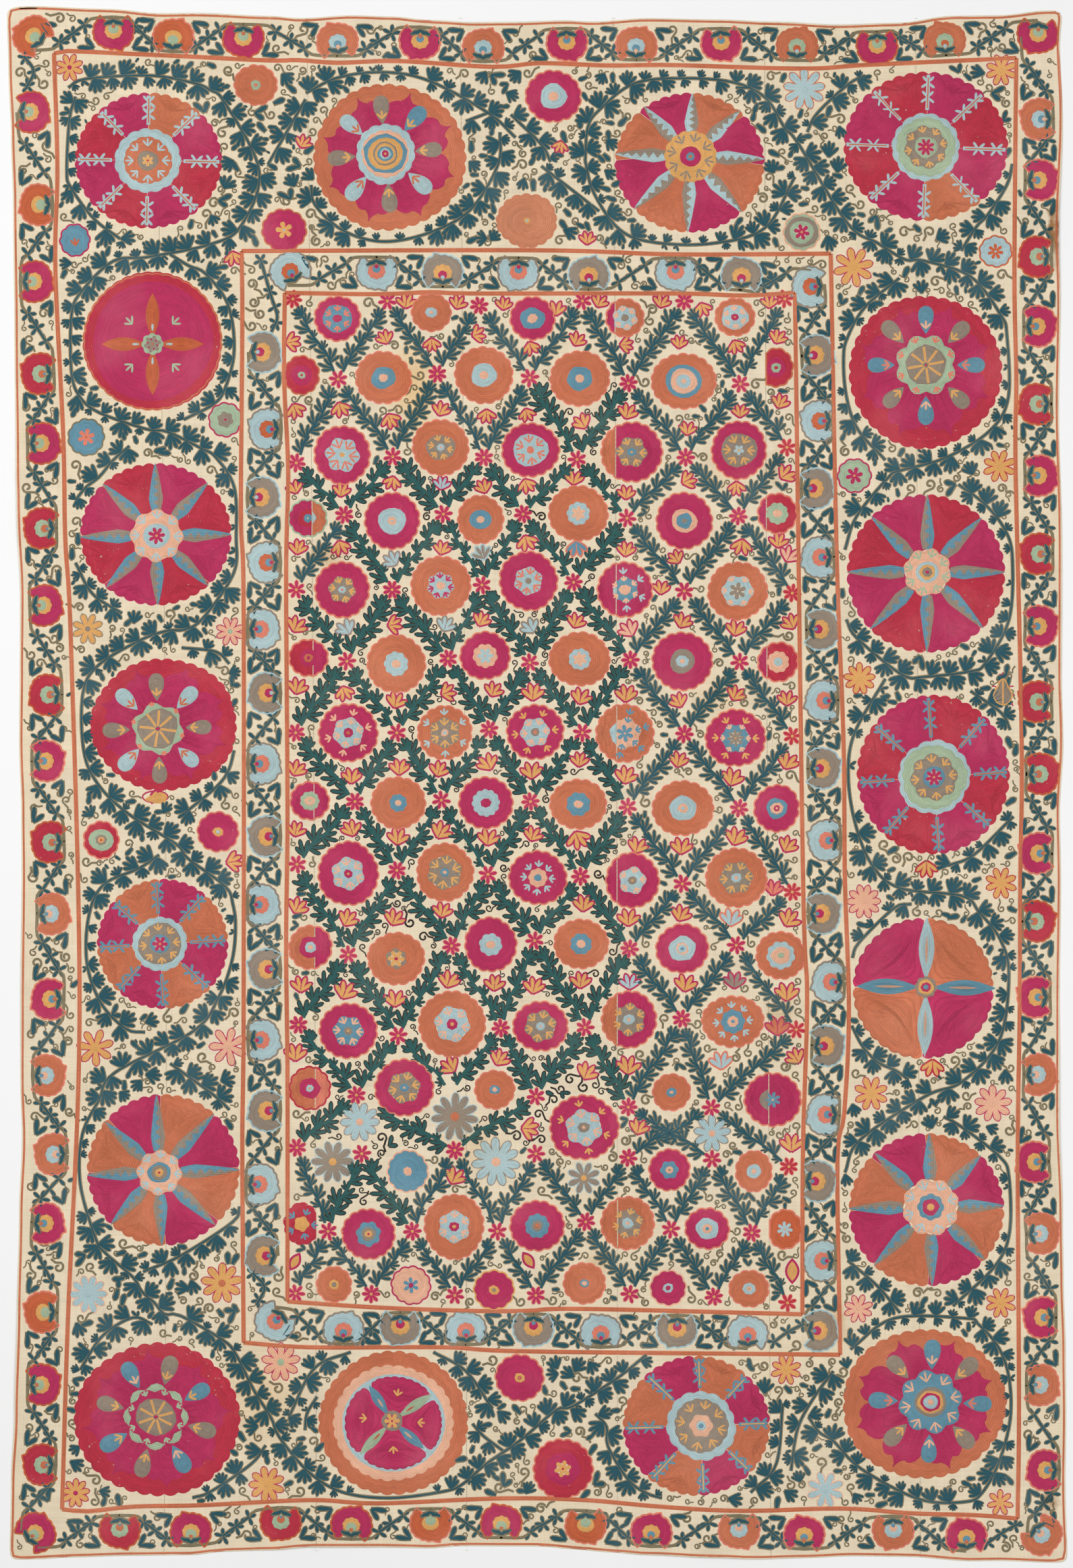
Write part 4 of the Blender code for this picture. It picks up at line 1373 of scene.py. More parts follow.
def age_group():
    """Stains of age, and cloth that has yellowed unevenly. Takes and gives the colour under them."""
    tree, add, given = tree_of("ShaderNodeTree", "age stains", (
        ("Color", "Color"), ("Strength", "Float", 1.0)), (("Color", "Color"),))
    where = add("ShaderNodeTexCoord", give="Object")
    rough = vector(add, "SUBTRACT", _0=noise(add, where, 34.0, 4.0, "Color"), _1=(0.5, 0.5, 0.5))
    where_rough = vector(add, "ADD", _0=where, _1=vector(add, "SCALE", _0=rough, _3=0.05))
    tan = brown = ramp(add, 0.0, 0.0, 0.0)
    for x, y, rx, ry, depth, dark in STAINS:
        place = add("ShaderNodeMapping", {
            "Vector": where_rough, "Location": (*on_cloth(x, y), 0),
            "Scale": (rx * CHART, ry * CHART, 1000)}, vector_type="TEXTURE")
        near = ramp(add, vector(add, "LENGTH", "Value", _0=place), depth, 0.0, 0.25)
        tan = tan.maths("MAXIMUM", near * (1 - dark))
        brown = brown.maths("MAXIMUM", near * dark)
    colour = given["Color"]
    yellow = ramp(add, noise(add, where, 2.6, 3.0), 0.0, 0.34, 0.35, 0.75)
    for share, stain in (
            (yellow, (1.0, 0.93, 0.78, 1)), (tan, (0.95, 0.74, 0.45, 1)), (brown, (0.42, 0.24, 0.12, 1))):
        colour = blended(add, share * given["Strength"], colour, stain, "MULTIPLY")
    add("NodeGroupOutput", {"Color": colour})
    return tree


def aged(add, colour, strength):
    """A colour under the stains of age."""
    return add("ShaderNodeGroup", {"Color": colour, "Strength": strength}, "Color",
               node_tree=bpy.data.node_groups.get("age stains") or age_group())


def chain_group():
    """Rows of chain stitch. Gives the thread's colour in its rows and links, their height and their wear."""
    tree, add, given = tree_of("ShaderNodeTree", "chain stitch", (
        ("Rows", "Vector"), ("Color", "Color"), ("Wears", "Float", 0.3), ("Row Spacing", "Float", 0.003),
        ("Link Length", "Float", 0.004)), (("Color", "Color"), ("Height", "Float"), ("Worn", "Float")))
    where = add("ShaderNodeTexCoord", give="Object")
    along, across, _ = map(Sum, add("ShaderNodeSeparateXYZ", {0: given["Rows"]}, None).outputs)
    across = across / given["Row Spacing"] + noise(add, where, 60.0, 2.0) * 0.5
    row = across.maths("FLOOR")
    aside = (across.maths("FRACT") - 0.5).maths("ABSOLUTE")
    own = Sum(add("ShaderNodeTexWhiteNoise", {"W": row}, "Value", noise_dimensions="1D"))
    links = along / given["Link Length"] + own * 7.0
    # A link is a loop: two strands that part and meet, over the end of the one before.
    part = (links.maths("FRACT") * math.pi).maths("SINE") * 0.24
    arch = ((aside - part).maths("ABSOLUTE") * -3.4).maths("ADD", 1.0, clamp=True)
    round_row = (aside * aside * -3.6).maths("ADD", 1.0, clamp=True)
    height = round_row * 0.6 + arch * 0.4 + noise(add, where, 900.0, 2.0) * 0.12
    pair = add("ShaderNodeCombineXYZ", {"X": along * 14.0, "Y": row})
    single = add("ShaderNodeTexWhiteNoise", {"Vector": add("ShaderNodeCombineXYZ", {
        "X": links.maths("FLOOR"), "Y": row})}, "Value", noise_dimensions="2D")
    wide = noise(add, where, 9.0, 3.0)
    tone = ramp(add, noise(add, pair, 1.0, 2.0), 0.85, 1.13, 0.25, 0.75) * ramp(add, single, 0.93, 1.07)
    # painted shade: each row's colour darkens towards its edges, in the grooves between rows
    tone = tone * ramp(add, round_row, 0.80, 1.03, 0.1, 0.75) * ramp(add, wide, 0.92, 1.08, 0.3, 0.7)
    shaded_and_faded = blended(add, ramp(add, wide, 0.0, 0.07, 0.5, 0.8), toned(add, given["Color"], tone),
                    (0.8, 0.72, 0.58, 1))
    sound = 0.83 - noise(add, where, 5.5, 2.0) * given["Wears"] * 0.36
    worn = (noise(add, where, 210.0, 3.0) - sound).maths("MULTIPLY", 22.0, clamp=True)
    add("NodeGroupOutput", {"Color": shaded_and_faded, "Height": height, "Worn": worn})
    return tree


def silk(sizes):
    """Silk chain stitch in the dye of the attribute, in rows, worn through to the cotton in places."""
    material, add, shader, _ = material_of("silk chain stitch", 0.65, specular=0.3, sheen=0.12)
    shader["Sheen Roughness"].default_value = 0.4
    dyed = add("ShaderNodeVertexColor", give=None, layer_name="dye").outputs
    stitch = add("ShaderNodeGroup", {
        "Rows": add("ShaderNodeUVMap", uv_map="rows"), "Color": dyed["Color"], "Wears": dyed["Alpha"],
        "Row Spacing": sizes.row_spacing, "Link Length": sizes.link_length}, None,
        node_tree=chain_group()).outputs
    height, worn = Sum(stitch["Height"]), Sum(stitch["Worn"])
    seen = blended(add, worn, stitch["Color"], (0.72, 0.62, 0.46, 1))
    dress(add, shader, aged(add, seen, 0.55), ramp(add, height, 0.74, 0.56), height - worn * 0.7, 0.0007, 0.8)
    return material


def cotton(sizes):
    """Unbleached hand-woven cotton, in plain weave, with slubs, a little grime and its stains."""
    material, add, shader, where = material_of("hand-loomed cotton", 0.9, specular=0.25, sheen=0.1)
    threads, slubs = [], []
    for turned, stretch in enumerate(((420.0, 9.0, 1.0), (9.0, 420.0, 1.0))):
        slub = noise(add, add("ShaderNodeMapping", {"Vector": where, "Scale": stretch}), 1.0, 3.0)
        place = Sum(add("ShaderNodeSeparateXYZ", {0: where}, turned))
        thread = (place * (2 * math.pi / sizes.thread_spacing) + slub * 2.2).maths("SINE")
        threads.append((thread + 1.0) * slub)
        slubs.append(slub)
    weave = threads[0].maths("MAXIMUM", threads[1])
    tone = ramp(add, slubs[0], 0.96, 1.03, 0.3, 0.7) * ramp(add, slubs[1], 0.95, 1.04, 0.3, 0.7)
    # painted shade: the colour darkens where the weave is low, between the threads
    tone = tone * ramp(add, weave, 0.90, 1.03, 0.0, 0.9)
    tone = tone * ramp(add, noise(add, where, 22.0, 6.0), 1.05, 0.92, 0.35, 0.75)
    colour = toned(add, (*sizes.cotton_colour, 1.0), tone)
    dress(add, shader, aged(add, colour, 1.0), ramp(add, tone, 0.95, 0.82, 0.7, 1.2),
          weave * 0.14 + noise(add, where, 26.0, 3.0), 0.0022, 0.55)
    return material


def paper():
    """A pale matt studio floor."""
    material, add, shader, where = material_of("pale floor", 0.9)
    tone = ramp(add, noise(add, where, 3.0, 4.0), 0.95, 0.97)
    material.node_tree.links.new(
        add("ShaderNodeCombineColor", {0: tone, 1: tone, 2: tone}), shader["Base Color"])
    return material


# ---------------------------------------------------------------- settings

DYES = {
    # as a screen shows them
    "magenta": (192, 44, 94), "crimson": (194, 46, 68), "orange": (208, 116, 80), "rust": (206, 100, 60),
    "salmon": (230, 130, 106), "yellow": (232, 172, 100), "light_blue": (178, 203, 206),
    "blue": (102, 151, 171), "pale_green": (172, 192, 160), "taupe": (154, 138, 122),
    "peach": (242, 184, 152), "apricot": (216, 138, 102), "khaki": (134, 122, 94), "teal": (34, 86, 98),
    "black_brown": (50, 42, 36), "pale_taupe": (166, 146, 136), "deep_teal": (40, 94, 92),
    "cotton_thread": (226, 212, 180), "cotton": (235, 219, 191),
}


def dye(name, described):
    """A setting for a colour: the screen colour of DYES as the amounts of light that Blender uses."""
    light = [c / 255 / 12.92 if c <= 10 else ((c / 255 + 0.055) / 1.055) ** 2.4 for c in DYES[name]]
    return bpy.props.FloatVectorProperty(name=name.replace("_", " ").capitalize(), description=described,
                                         subtype="COLOR", min=0, max=1, default=light)


def size(name, described, default, least, most):
    """A setting for a length, in mm."""
    return bpy.props.FloatProperty(
        name=name, description=described, default=default * MM, min=least * MM, max=most * MM,
        subtype="DISTANCE", unit="LENGTH", precision=4)


class SuzaniThreads(bpy.types.PropertyGroup):
    """The dyes of the silk."""

    __annotations__ = {
        name: dye(name, f"Colour of the {name.replace('_', ' ')} thread") for name in KEY.values()}


class SuzaniSizes(bpy.types.PropertyGroup):
    """Sizes of the cloth and its stitches."""

    row_spacing: size("Row spacing", "From one row of chain stitch to the next", 3.0, 1, 10)
    link_length: size("Link length", "Length of one link of chain stitch", 4.2, 1, 12)
    thread_spacing: size("Thread spacing", "From one thread of the cotton weave to the next", 2.2, 0.3, 5)
    seam_gap: size("Seam gap", "Between the selvedges of neighbouring strips", 0.3, 0.1, 2)
    leaf_spacing: size("Leaf spacing", "From one pair of leaves on a border stem to the next", 30.29, 17, 105)
    cotton_colour: dye("cotton", "Colour of the cotton ground")


# ---------------------------------------------------------------- operators

shared = {}  # the room on the chart, the materials and the pieces of stitching, from one operator to the next


class Suzani:
    """What the operators have in common."""

    bl_options = {"REGISTER", "UNDO"}

    def execute(self, context):
        self.make(context.scene.suzani_sizes, shared["room"], shared["silk"])
        return {"FINISHED"}


def stitched(name, mesh):
    """Keeps a mesh as a piece of stitching."""
    shared["stitching"].append(keep(name, mesh, shared["silk"]))


class SUZANI_OT_cloth(bpy.types.Operator):
    """Lays the seven strips of cotton with their turned hems"""

    bl_idname = "suzani.cloth"
    bl_label = "Cotton strips"

    def execute(self, context):
        sizes = context.scene.suzani_sizes
        shared.update(room=Room(), cotton=cotton(sizes), silk=silk(sizes), stitching=[])
        shared["strips"] = [self.strip(number, sizes.seam_gap) for number in range(len(SEAMS) + 1)]
        return {"FINISHED"}

    def strip(self, number, seam_gap):
        """One loom width: an upper and a lower face, closed round their edge, thicker where it is turned."""
        near = (0, 0.7, 2.2, 4.2, 5.0, 7.5)  # mm from a turned edge, where the hem needs places
        ends, sides = [mm * MM / LENGTH for mm in near], [mm / 260 for mm in near]
        ups = [*ends, *(step / 132 for step in range(1, 132)), *(1 - end for end in ends[::-1])]
        acrosses = [*(sides if number == 0 else (0, 0.006)), *(step / 14 for step in range(1, 14)),
                    *((1 - side for side in sides[::-1]) if number == len(SEAMS) else (0.994, 1))]
        upper, lower = [], []
        for up in ups:
            for across in acrosses:
                x, y, inside = place_on(number, across, up, seam_gap)
                lift, inside = float(lift_at(x, y)), inside / MM
                hem = 0.55 * ease(min(inside / 1.6, 1)) * (1 - ease(min(max(inside - 3.6, 0) / 1.6, 1)))
                round_edge = 0.5 * max(1 - inside / 1.5, 0) ** 2
                upper.append((x, y, lift + CLOTH_TOP + (hem - round_edge) * MM))
                lower.append((x, y, lift))
        grid, under = np.arange(len(upper)).reshape(len(ups), -1), len(upper)
        quads = np.stack((grid[:-1, :-1], grid[:-1, 1:], grid[1:, 1:], grid[1:, :-1]), -1)
        quads = quads.reshape(-1, 4).tolist()
        loop = [*grid[0], *grid[1:, -1], *grid[-1, -2::-1], *grid[-2:0:-1, 0]]
        mesh = bpy.data.meshes.new("strip")
        mesh.from_pydata(upper + lower, [], [
            *quads, *([under + at for at in (a, d, c, b)] for a, b, c, d in quads),
            *((int(a), int(a) + under, int(b) + under, int(b)) for a, b in zip(loop, loop[1:] + loop[:1]))])
        mesh.shade_smooth()
        piece = keep(f"cotton_strip_{number + 1}", mesh, shared["cotton"])
        xs, ys, _ = zip(*lower)
        return piece, (max(xs) - min(xs), max(ys) - min(ys)), sum(
            mesh.polygons[at].area for at in range(len(quads)))


class SUZANI_OT_medallions(Suzani, bpy.types.Operator):
    """Works the eighteen medallions of the main border"""

    bl_idname = "suzani.medallions"
    bl_label = "Medallions"

    def make(self, sizes, room, thread):
        work = Needlework()
        for row in MEDALLIONS:
            medallion(work, *row)
        rosette(work, 111, 356, 23, 25, "B", "M", "B9^7")
        work.sprout((112, 364), -8, 12, "R", BED + STEP, 36, 3.4)
        beetle(work, 1486, 1023)
        teardrop(work, (212, 1186), 82, 37, 17, "Y", BED)
        work.strand(rim(230, 1181, 19, 8.5, 16), 2.4, "M", BED, closed=True)
        stitched("border_medallions", work.mesh())
        room.fill(disc for disc in work.discs if disc[2] > 20)


class SUZANI_OT_rosettes(Suzani, bpy.types.Operator):
    """Works the rosettes of the centre field"""

    bl_idname = "suzani.rosettes"
    bl_label = "Rosettes"

    def make(self, sizes, room, thread):
        work = Needlework()
        for row in ROSETTES.split(";"):
            *places, body, edge, code = row.split(None, 6)
            rosette(work, *map(int, places), body, edge, code)
        stitched("rosettes", work.mesh())
        room.fill(disc for disc in work.discs if disc[2] > 20)


class SUZANI_OT_flowers(Suzani, bpy.types.Operator):
    """Works the tulips, the florets and the many-petalled flowers"""

    bl_idname = "suzani.flowers"
    bl_label = "Small flowers"

    def make(self, sizes, room, thread):
        work = Needlework()
        for row in STARS:
            star(work, *row)
        for number, (x, y) in enumerate(FLORETS):
            letter = "M" if 436 <= x <= 1160 else "C"
            star(work, x, y, 13.5, 7 + number % 2, 31 * number, letter, "S", "Y", gap=0, edging=1.0)
        for *ways, places in TULIPS:
            for x, y in places:
                tulip(work, x, y, ways)
        for x, y, way, *threads in ODD_TULIPS:
            tulip(work, x, y, (way, way), *threads)
        for x, y, way, long in BOTEHS:
            lens(work, ahead((x, y), way, -long / 2), way, long, long * 0.56, "M", UNDER)
            lens(work, ahead((x, y), way, 4 - long / 2), way, long - 8, long * 0.56 - 6, "Y", OVER)
            work.discs.append((x, y, long * 0.4))
        stitched("small_flowers", work.mesh())
        room.fill(disc for disc in work.discs if disc[2] > 7.4)


def edge_line(inset):
    """The closed line this many metres inside the cloth's edge, clockwise on the chart."""
    clear = 22 * MM  # how far from a corner a side begins
    alongs = [clear + (WIDTH - 2 * clear) * step / 60 for step in range(61)]
    ups = [clear + (LENGTH - 2 * clear) * step / 80 for step in range(81)]
    top = [(along + LEFT, ends_at(along)[0] - inset) for along in alongs]
    bottom = [(along + LEFT, ends_at(along)[1] + inset) for along in alongs[::-1]]
    left = [(side_at(0, up / LENGTH) + inset, up - TOP) for up in ups]
    right = [(side_at(7, up / LENGTH) - inset, up - TOP) for up in ups[::-1]]
    loop = []
    for side, following in ((top, right), (right, bottom), (bottom, left), (left, top)):
        corner = [0.2 * (a + b) + 0.6 * max(a, b, key=abs) for a, b in zip(side[-1], following[0])]
        loop += [*side, corner]
    loop = [on_chart(*place) for place in loop]
    return smoothed(loop + loop[:2], 14)


class SUZANI_OT_frames(Suzani, bpy.types.Operator):
    """Couches the orange lines that frame the borders"""

    bl_idname = "suzani.frames"
    bl_label = "Frame lines"

    def make(self, sizes, room, thread):
        lines = [(smoothed(line, 16), 6.6, "O", 0.0) for line in FRAMES]
        lines.append((edge_line(3.4 * MM), 4.4, "O", 0.0))
        stitched("frame_lines", couch_lines(lines, thread, 0.24))
        fill_lines(room, lines, 3.2)


def fill_lines(room, lines, radius=3):
    room.fill((x, y, radius) for line, *_ in lines for x, y, _ in stations(line, 3))


def within(x, y, loop):
    """Whether a place on the chart is inside a loop of places."""
    return sum((ay > y) != (by > y) and x < ax + (bx - ax) * (y - ay) / (by - ay)
               for (ax, ay), (bx, by) in zip(loop, loop[1:] + loop[:1])) % 2 == 1


# the loops round the main border, inside it and round the centre field
LOOPS = [[place for line in FRAMES[n:n + 4] for place in line[:-1]] for n in (0, 4, 8)]


def in_border(x, y):
    """Whether a place on the chart is in the main border."""
    return within(x, y, LOOPS[0]) and not within(x, y, LOOPS[1])


def in_field(x, y):
    """Whether a place on the chart is in the centre field."""
    return within(x, y, LOOPS[2])


def zone_at(x, y):
    """Dark where the ferns are outlined in near black, and pale elsewhere."""
    dark = 470 < x < 912 and (570 if x > 810 else 685) < y < (1800 if x < 610 else 1700)
    return "dark" if dark else "pale"


ZONE_THREADS = {"dark": ("D", "N"), "pale": ("E", "K")}  # a leaf's and its edge's


def scatter(room, spots, motifs, rng, tries, sizes, wanted):
    """Sets motifs at random places that are wanted and where they find room."""
    names = sorted(motifs)
    for _ in range(tries):
        x, y, way = rng.uniform(60, 1530), rng.uniform(60, 2260), rng.uniform(0, 360)
        name = rng.choice(names)
        if room.free([(x, y, 3)]) and wanted(x, y):
            put(room, spots, motifs, name, (x, y), way, sizes)


class SUZANI_OT_vines(Suzani, bpy.types.Operator):
    """Grows the stems of the main border and sets their fans of leaves"""

    bl_idname = "suzani.vines"
    bl_label = "Border vines"

    def make(self, sizes, room, thread):
        rng = random.Random("vines")
        lines, spots = [], []
        stems = [smoothed(line, 7) for line in VINES]
        for stem in stems:
            lines += [(stem, 6.2, "K", -0.05 * MM), (stem, 2.7, "E", 0.52 * MM)]
        fill_lines(room, lines)
        fans = {f"fan {number}": fan(*shape, rng) for number, shape in enumerate(
            ((5, 37, 23.5), (5, 42, 21.5), (4, 31, 23), (4, 35, 21), (5, 46, 22)))}
        ticks = {"tick 0": tick(17, 12, 64, 5.8, "E", "K"), "tick 1": tick(13, 17, -60, 5.8, "E", "K"),
                 "seed 0": seed_leaf(14, 6.0, "E", "K"), "seed 1": seed_leaf(11, 5.2, "E", "K")}
        leans = ((62, 0), (76, 4), (48, -4), (90, 6), (34, 6), (104, -3))
        tries = [(size, *lean) for size in (1.08, 0.94, 0.8, 0.66, 0.52) for lean in leans]
        for stem in stems:
            for x, y, way in stations(stem, sizes.leaf_spacing / CHART, 9):
                for side in (-1, 1):
                    name, sway = rng.choice(list(fans)), rng.uniform(-6, 6)
                    any(put(room, spots, fans, name, ahead((x, y), way, shift + side * 3, side * 1.5),
                            way + side * (turn + sway), (size,)) for size, turn, shift in tries)
        for stem in stems:
            for number, (x, y, way) in enumerate(stations(stem, 9, 16)):
                side = 1 if number % 2 else -1
                name = rng.choice(list(ticks))
                base = ahead((x, y), way, 0, side * (1.5 if name[0] == "t" else rng.uniform(12, 26)))
                put(room, spots, ticks, name, base, way + side * (55 + rng.uniform(-14, 14)),
                    (1.05, 0.85, 0.65, 0.5))
        scatter(room, spots, fans, rng, 9000, (0.95, 0.8), in_border)
        scatter(room, spots, ticks, rng, 9000, (1.2, 0.95), in_border)
        stitched("border_stems", couch_lines(lines, thread, 0.2))
        stitched("border_leaves", lay_motifs({**fans, **ticks}, spots, thread))


class SUZANI_OT_ferns(Suzani, bpy.types.Operator):
    """Grows the lattice of ferns between the florets of the centre field"""

    bl_idname = "suzani.ferns"
    bl_label = "Lattice of ferns"

    def make(self, sizes, room, thread):
        rng = random.Random("ferns")
        motifs, lines, spots, filled = {}, [], [], []
        for zone, wide, edging, lobes, tips in (
                ("dark", 3.9, 1.5, ((90, 15.5), (60, 21), (30, 19)), ((66, 13.5), (33, 17), (0, 19))),
                ("pale", 3.5, 1.4, ((86, 14), (55, 19), (26, 17)), ((58, 13), (29, 15.5), (0, 17)))):
            look = rng, wide, *ZONE_THREADS[zone], edging
            for number in range(3):
                for side in (-1, 1):
                    motifs[f"{zone} hand {number} {side}"] = fern_hand(side, lobes, *look)
                motifs[f"{zone} tip {number}"] = fern_tip(tips, *look)
        for foot in (*FLORETS, BARE_FOOT):
            for side in (-1, 1):
                heads = [(math.dist(foot, head), head) for head in (*FLORETS, BARE_HEAD)
                         if 28 < side * (head[0] - foot[0]) < 128 and 62 < foot[1] - head[1] < 160]
                if not heads:
                    continue
                far, head = min(heads)
                way = facing(foot, head)
                start, third = ahead(foot, way, 13), (far - 41) / 3
                bow = side * rng.uniform(1.5, 4.5)
                stem = smoothed([start, ahead(start, way, third, -bow),
                                 ahead(start, way, third * 2, bow * 0.4), ahead(foot, way, far - 28)], 7)
                zone = zone_at(*stem[len(stem) // 2])
                leaf, edge = ZONE_THREADS[zone]
                spacing, outer, inner, low, high = {
                    "dark": (12.6, 7.0, 4.0, -0.3, 0.24), "pale": (11.2, 6.4, 3.2, -0.2, 0.26)}[zone]
                lines += [(stem, outer, edge, low * MM), (stem, inner, leaf, high * MM)]
                for number, (x, y, way) in enumerate(stations(stem, spacing, 4)):
                    name = f"{zone} hand {rng.randrange(3)} {1 if number % 2 else -1}"
                    # Hands of one fern may overlap, so they don't fill the room until all are set.
                    size = next((size for size in (1.1, 1.0, 0.88, 0.76, 0.64) if room.free(
                        moved(motifs[name].discs, (x, y), way, size))), 0.56)
                    spots.append((name, x, y, way, size))
                    filled += [(x, y, 6), *moved(motifs[name].discs, (x, y), way, size)]
                x, y, way = stations(stem, 3)[-1]
                spots.append((f"{zone} tip {rng.randrange(3)}", x, y, way, 0.95))
                filled.append((*ahead((x, y), way, 8), 9))
        room.fill(filled)
        for zone, tries in (("dark", 700), ("pale", 5000)):
            threads = ZONE_THREADS[zone]
            small = {f"{zone} seed 0": seed_leaf(13, 5.6, *threads),
                     f"{zone} seed 1": seed_leaf(10, 4.8, *threads),
                     f"{zone} tick 0": tick(15, 10, 70, 4.6, *threads),
                     f"{zone} tick 1": tick(11, 15, -66, 4.6, *threads)}
            motifs.update(small)
            scatter(room, spots, small, rng, tries, (1.0, 0.85),
                    lambda x, y: in_field(x, y) and zone_at(x, y) == zone)
        stitched("field_stems", couch_lines(lines, thread, 0.14))
        stitched("field_ferns", lay_motifs(motifs, spots, thread))


class SUZANI_OT_palmettes(Suzani, bpy.types.Operator):
    """Works the palmettes of the narrow borders and the branches that join them"""

    bl_idname = "suzani.palmettes"
    bl_label = "Narrow borders"

    def make(self, sizes, room, thread):
        rng = random.Random("palmettes")
        blooms = {f"bloom {kind} {hand}": palmette(kind, hand) for kind in PALMETTE_KINDS for hand in (1, -1)}
        flowers = [(x, y, way + 180 * number, kind) for kinds, way, places in PALMETTES
                   for number, ((x, y), kind) in enumerate(zip(places, kinds))]
        spots = [(f"bloom {kind} {rng.choice((1, -1))}", x, y, way, 1.0) for x, y, way, kind in flowers]
        room.fill((x, y, 29) for x, y, *_ in flowers)
        stitched("palmettes", lay_motifs(blooms, spots, thread, 0.08))
        leaves = {f"star {n}": leaf_star(4 + n % 2, rng) for n in range(4)}
        for n, between in enumerate((58, -58)):
            leaves[f"tick {n}"] = tick(24, 19.5, between, 7.0, "E", "K")
        lines, spots = [], []
        for (*here, way, _), (*there, to_way, _) in zip(flowers, flowers[1:]):
            far, run = math.dist(here, there), facing(here, there)
            if far > 150 or abs((way - to_way + 180) % 360 - 180) < 90:
                continue
            side = 1 if (way - run) % 360 < 180 else -1
            branch = [ahead(here, run, far * share, side * aside) for share, aside in (
                (0, -25), (0.27, -22), (0.35, -13), (0.5, 0), (0.65, 13), (0.73, 22), (1, 25))]
            nodes = branch[2:5]
            lines += [(smoothed(branch, 6), 5.0, "K", 0.0), (nodes, 6.4, "K", 0.0),
                      (nodes, 3.6, "E", 0.5 * MM)]
            spots += [(f"star {rng.randrange(4)}", *node, rng.uniform(0, 72), 0.95) for node in nodes]
            for place, facing_way, onward in ((here, way, run), (there, to_way, run + 180)):
                apex = ahead(ahead(place, facing_way, 21), onward, 29.5)
                left = (onward - facing_way + 180) % 360 < 180
                spots.append((f"tick {int(left)}", *apex, onward, 0.95))
        for corner in CORNERS:
            branch = smoothed(corner, 6)
            lines += [(branch, 6.4, "K", 0.0), (branch, 3.6, "E", 0.5 * MM)]
            spots += [(f"star {rng.randrange(4)}", x, y, rng.uniform(0, 72), 0.85)
                      for x, y, _ in stations(branch, 24, 2)]
        fill_lines(room, lines)
        room.fill((x, y, 11) for _, x, y, _, _ in spots)
        stitched("narrow_border_stems", couch_lines(lines, thread, 0.2))
        stitched("narrow_border_leaves", lay_motifs(leaves, spots, thread))


class SUZANI_OT_curls(Suzani, bpy.types.Operator):
    """Fills the ground that is left with tendrils that roll up"""

    bl_idname = "suzani.curls"
    bl_label = "Curled tendrils"

    def make(self, sizes, room, thread):
        rng = random.Random("curls")
        motifs = {f"{zone} {number} {hand}": curl(letter, turns, hand, wide)
                  for zone, letter, wide in (("pale", "K", 4.8), ("dark", "N", 4.0))
                  for number, turns in enumerate((1.1, 1.35, 0.95)) for hand in (1, -1)}
        spots = []
        for radius in (7.8, 7.0, 6.2, 5.4, 4.7, 4.1):
            step = radius * 1.1
            for row in range(int((HIGH - 24) / step)):
                for column in range(int((WIDE - 30) / step)):
                    x, y = (column + rng.random()) * step + 14, (row + rng.random()) * step + 12
                    if not room.free([(x, y, radius + 1.4)]):
                        continue
                    if not in_border(x, y) and not in_field(x, y) and rng.random() < 0.4:
                        continue
                    way = rng.uniform(0, 360)
                    way = next((way + turn for turn in range(0, 360, 45) if room.free(
                        [(*ahead((x, y), way + turn + 180, radius * 2, radius), radius * 0.2)])), None)
                    if way is None:
                        continue
                    name = f"{zone_at(x, y)} {rng.randrange(3)} {rng.choice((1, -1))}"
                    spots.append((name, x, y, way, radius / 10))
                    room.fill([(x, y, radius), (*ahead((x, y), way + 180, radius * 1.5), radius * 0.3)])
        stitched("tendrils", lay_motifs(motifs, spots, thread))


class SUZANI_OT_seams(Suzani, bpy.types.Operator):
    """Overcasts the seams between the strips"""

    bl_idname = "suzani.seams"
    bl_label = "Seam stitches"

    def make(self, sizes, room, thread):
        rng = random.Random("seams")
        whip = Needlework()
        whip.strand([(-2.0, 0.5), (0, 0), (2.0, -0.5)], [0.7, 1.0, 0.7], "W", 0.1 * MM)
        spots, stitches = [], 330
        for seam in SEAMS:
            for step in range(stitches):
                share = 0.008 + 0.984 * step / (stitches - 1)
                x, y = on_chart(seam_at(seam, share), (share - 0.5) * LENGTH)
                if 20 < y < HIGH - 24 and rng.random() < 0.72:
                    spots.append(("whip", x, y, rng.uniform(-14, 14), rng.uniform(0.8, 1.1)))
        stitched("seam_stitches", lay_motifs({"whip": whip}, spots, thread))


class SUZANI_OT_declare(Suzani, bpy.types.Operator):
    """Says which sheet of cloth each strip is, and what is sewn on it"""

    bl_idname = "suzani.declare"
    bl_label = "Declare the sheets"

    def make(self, sizes, room, thread):
        for number, (piece, flat, area) in enumerate(shared["strips"]):
            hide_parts(f"cloth_strip_{number + 1}")


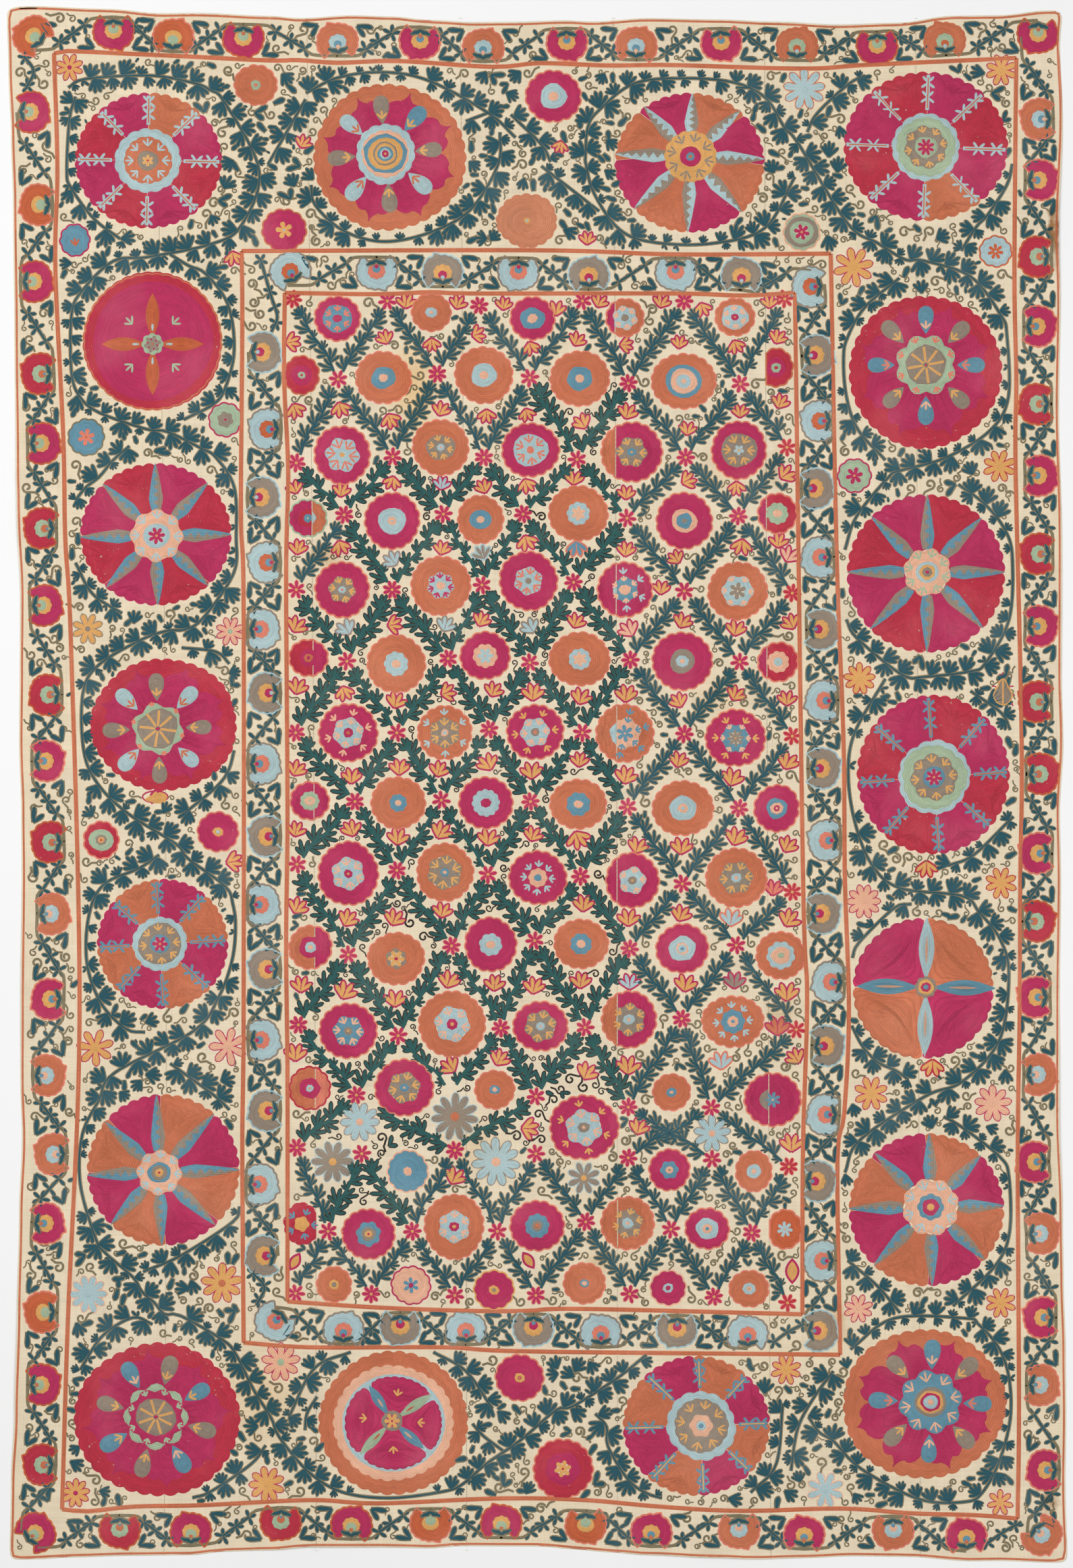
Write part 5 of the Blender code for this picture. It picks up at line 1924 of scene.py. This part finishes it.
class SUZANI_OT_stage(bpy.types.Operator):
    """Sets the pale floor, the soft lights and the camera"""

    bl_idname = "suzani.stage"
    bl_label = "Floor, lights and camera"

    def execute(self, context):
        scene = context.scene

        def add_object(name, data, place=(0, 0, 0)):
            made = bpy.data.objects.new(name, data)
            made.location = place
            scene.collection.objects.link(made)
            return made

        shape = bmesh.new()
        bmesh.ops.create_grid(shape, x_segments=8, y_segments=8, size=9.0)
        mesh = bpy.data.meshes.new("floor")
        shape.to_mesh(mesh)
        shape.free()
        mesh.materials.append(paper())
        add_object("floor", mesh)
        for name, place, size, power in (
                ("left softbox", (-3.4, 1.6, 4.4), 3.2, 150), ("right softbox", (3.4, -0.6, 4.8), 3.4, 118)):
            lamp = bpy.data.lights.new(name, "AREA")
            lamp.size, lamp.energy = size, power
            light = add_object(name, lamp, place)
            light.rotation_euler = (-Vector(place)).to_track_quat("-Z", "Y").to_euler()
        world = bpy.data.worlds.new("studio")
        world.use_nodes = True
        sky = world.node_tree.nodes["Background"].inputs
        sky["Color"].default_value, sky["Strength"].default_value = (1, 1, 1, 1), 0.4
        scene.world = world
        scene.view_settings.view_transform = "Standard"
        lens = bpy.data.cameras.new("camera")
        lens.lens, lens.sensor_width, lens.sensor_fit = 100, 36, "AUTO"
        height = HIGH * CHART * lens.lens / lens.sensor_width  # so that the chart fills the view
        scene.camera = add_object("camera", lens, (*on_cloth(WIDE / 2, HIGH / 2), height + 1.5 * MM))
        return {"FINISHED"}


OPERATORS = (
    SUZANI_OT_stage, SUZANI_OT_cloth, SUZANI_OT_medallions, SUZANI_OT_rosettes, SUZANI_OT_flowers,
    SUZANI_OT_frames, SUZANI_OT_palmettes, SUZANI_OT_vines, SUZANI_OT_ferns, SUZANI_OT_curls,
    SUZANI_OT_seams, SUZANI_OT_declare,
)


class SUZANI_PT_panel(bpy.types.Panel):
    """The steps of making the suzani, with its sizes and dyes"""

    bl_idname = "SUZANI_PT_panel"
    bl_label = "Suzani"
    bl_space_type = "VIEW_3D"
    bl_region_type = "UI"
    bl_category = "Suzani"

    def draw(self, context):
        column = self.layout.column()
        for operator in OPERATORS:
            column.operator(operator.bl_idname)
        for settings in (context.scene.suzani_sizes, context.scene.suzani_threads):
            for name in settings.bl_rna.properties.keys()[2:]:
                column.prop(settings, name)


CLASSES = (SuzaniThreads, SuzaniSizes, *OPERATORS, SUZANI_PT_panel)


def register():
    for cls in CLASSES:
        bpy.utils.register_class(cls)
    bpy.types.Scene.suzani_threads = bpy.props.PointerProperty(type=SuzaniThreads)
    bpy.types.Scene.suzani_sizes = bpy.props.PointerProperty(type=SuzaniSizes)


def unregister():
    del bpy.types.Scene.suzani_sizes
    del bpy.types.Scene.suzani_threads
    for cls in reversed(CLASSES):
        bpy.utils.unregister_class(cls)


def main():
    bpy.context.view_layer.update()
    register()
    for operator in OPERATORS:
        group, name = operator.bl_idname.split(".")
        if getattr(getattr(bpy.ops, group), name)() != {"FINISHED"}:
            raise RuntimeError(f"{operator.bl_label} did not finish")


if __name__ == "__main__":
    main()
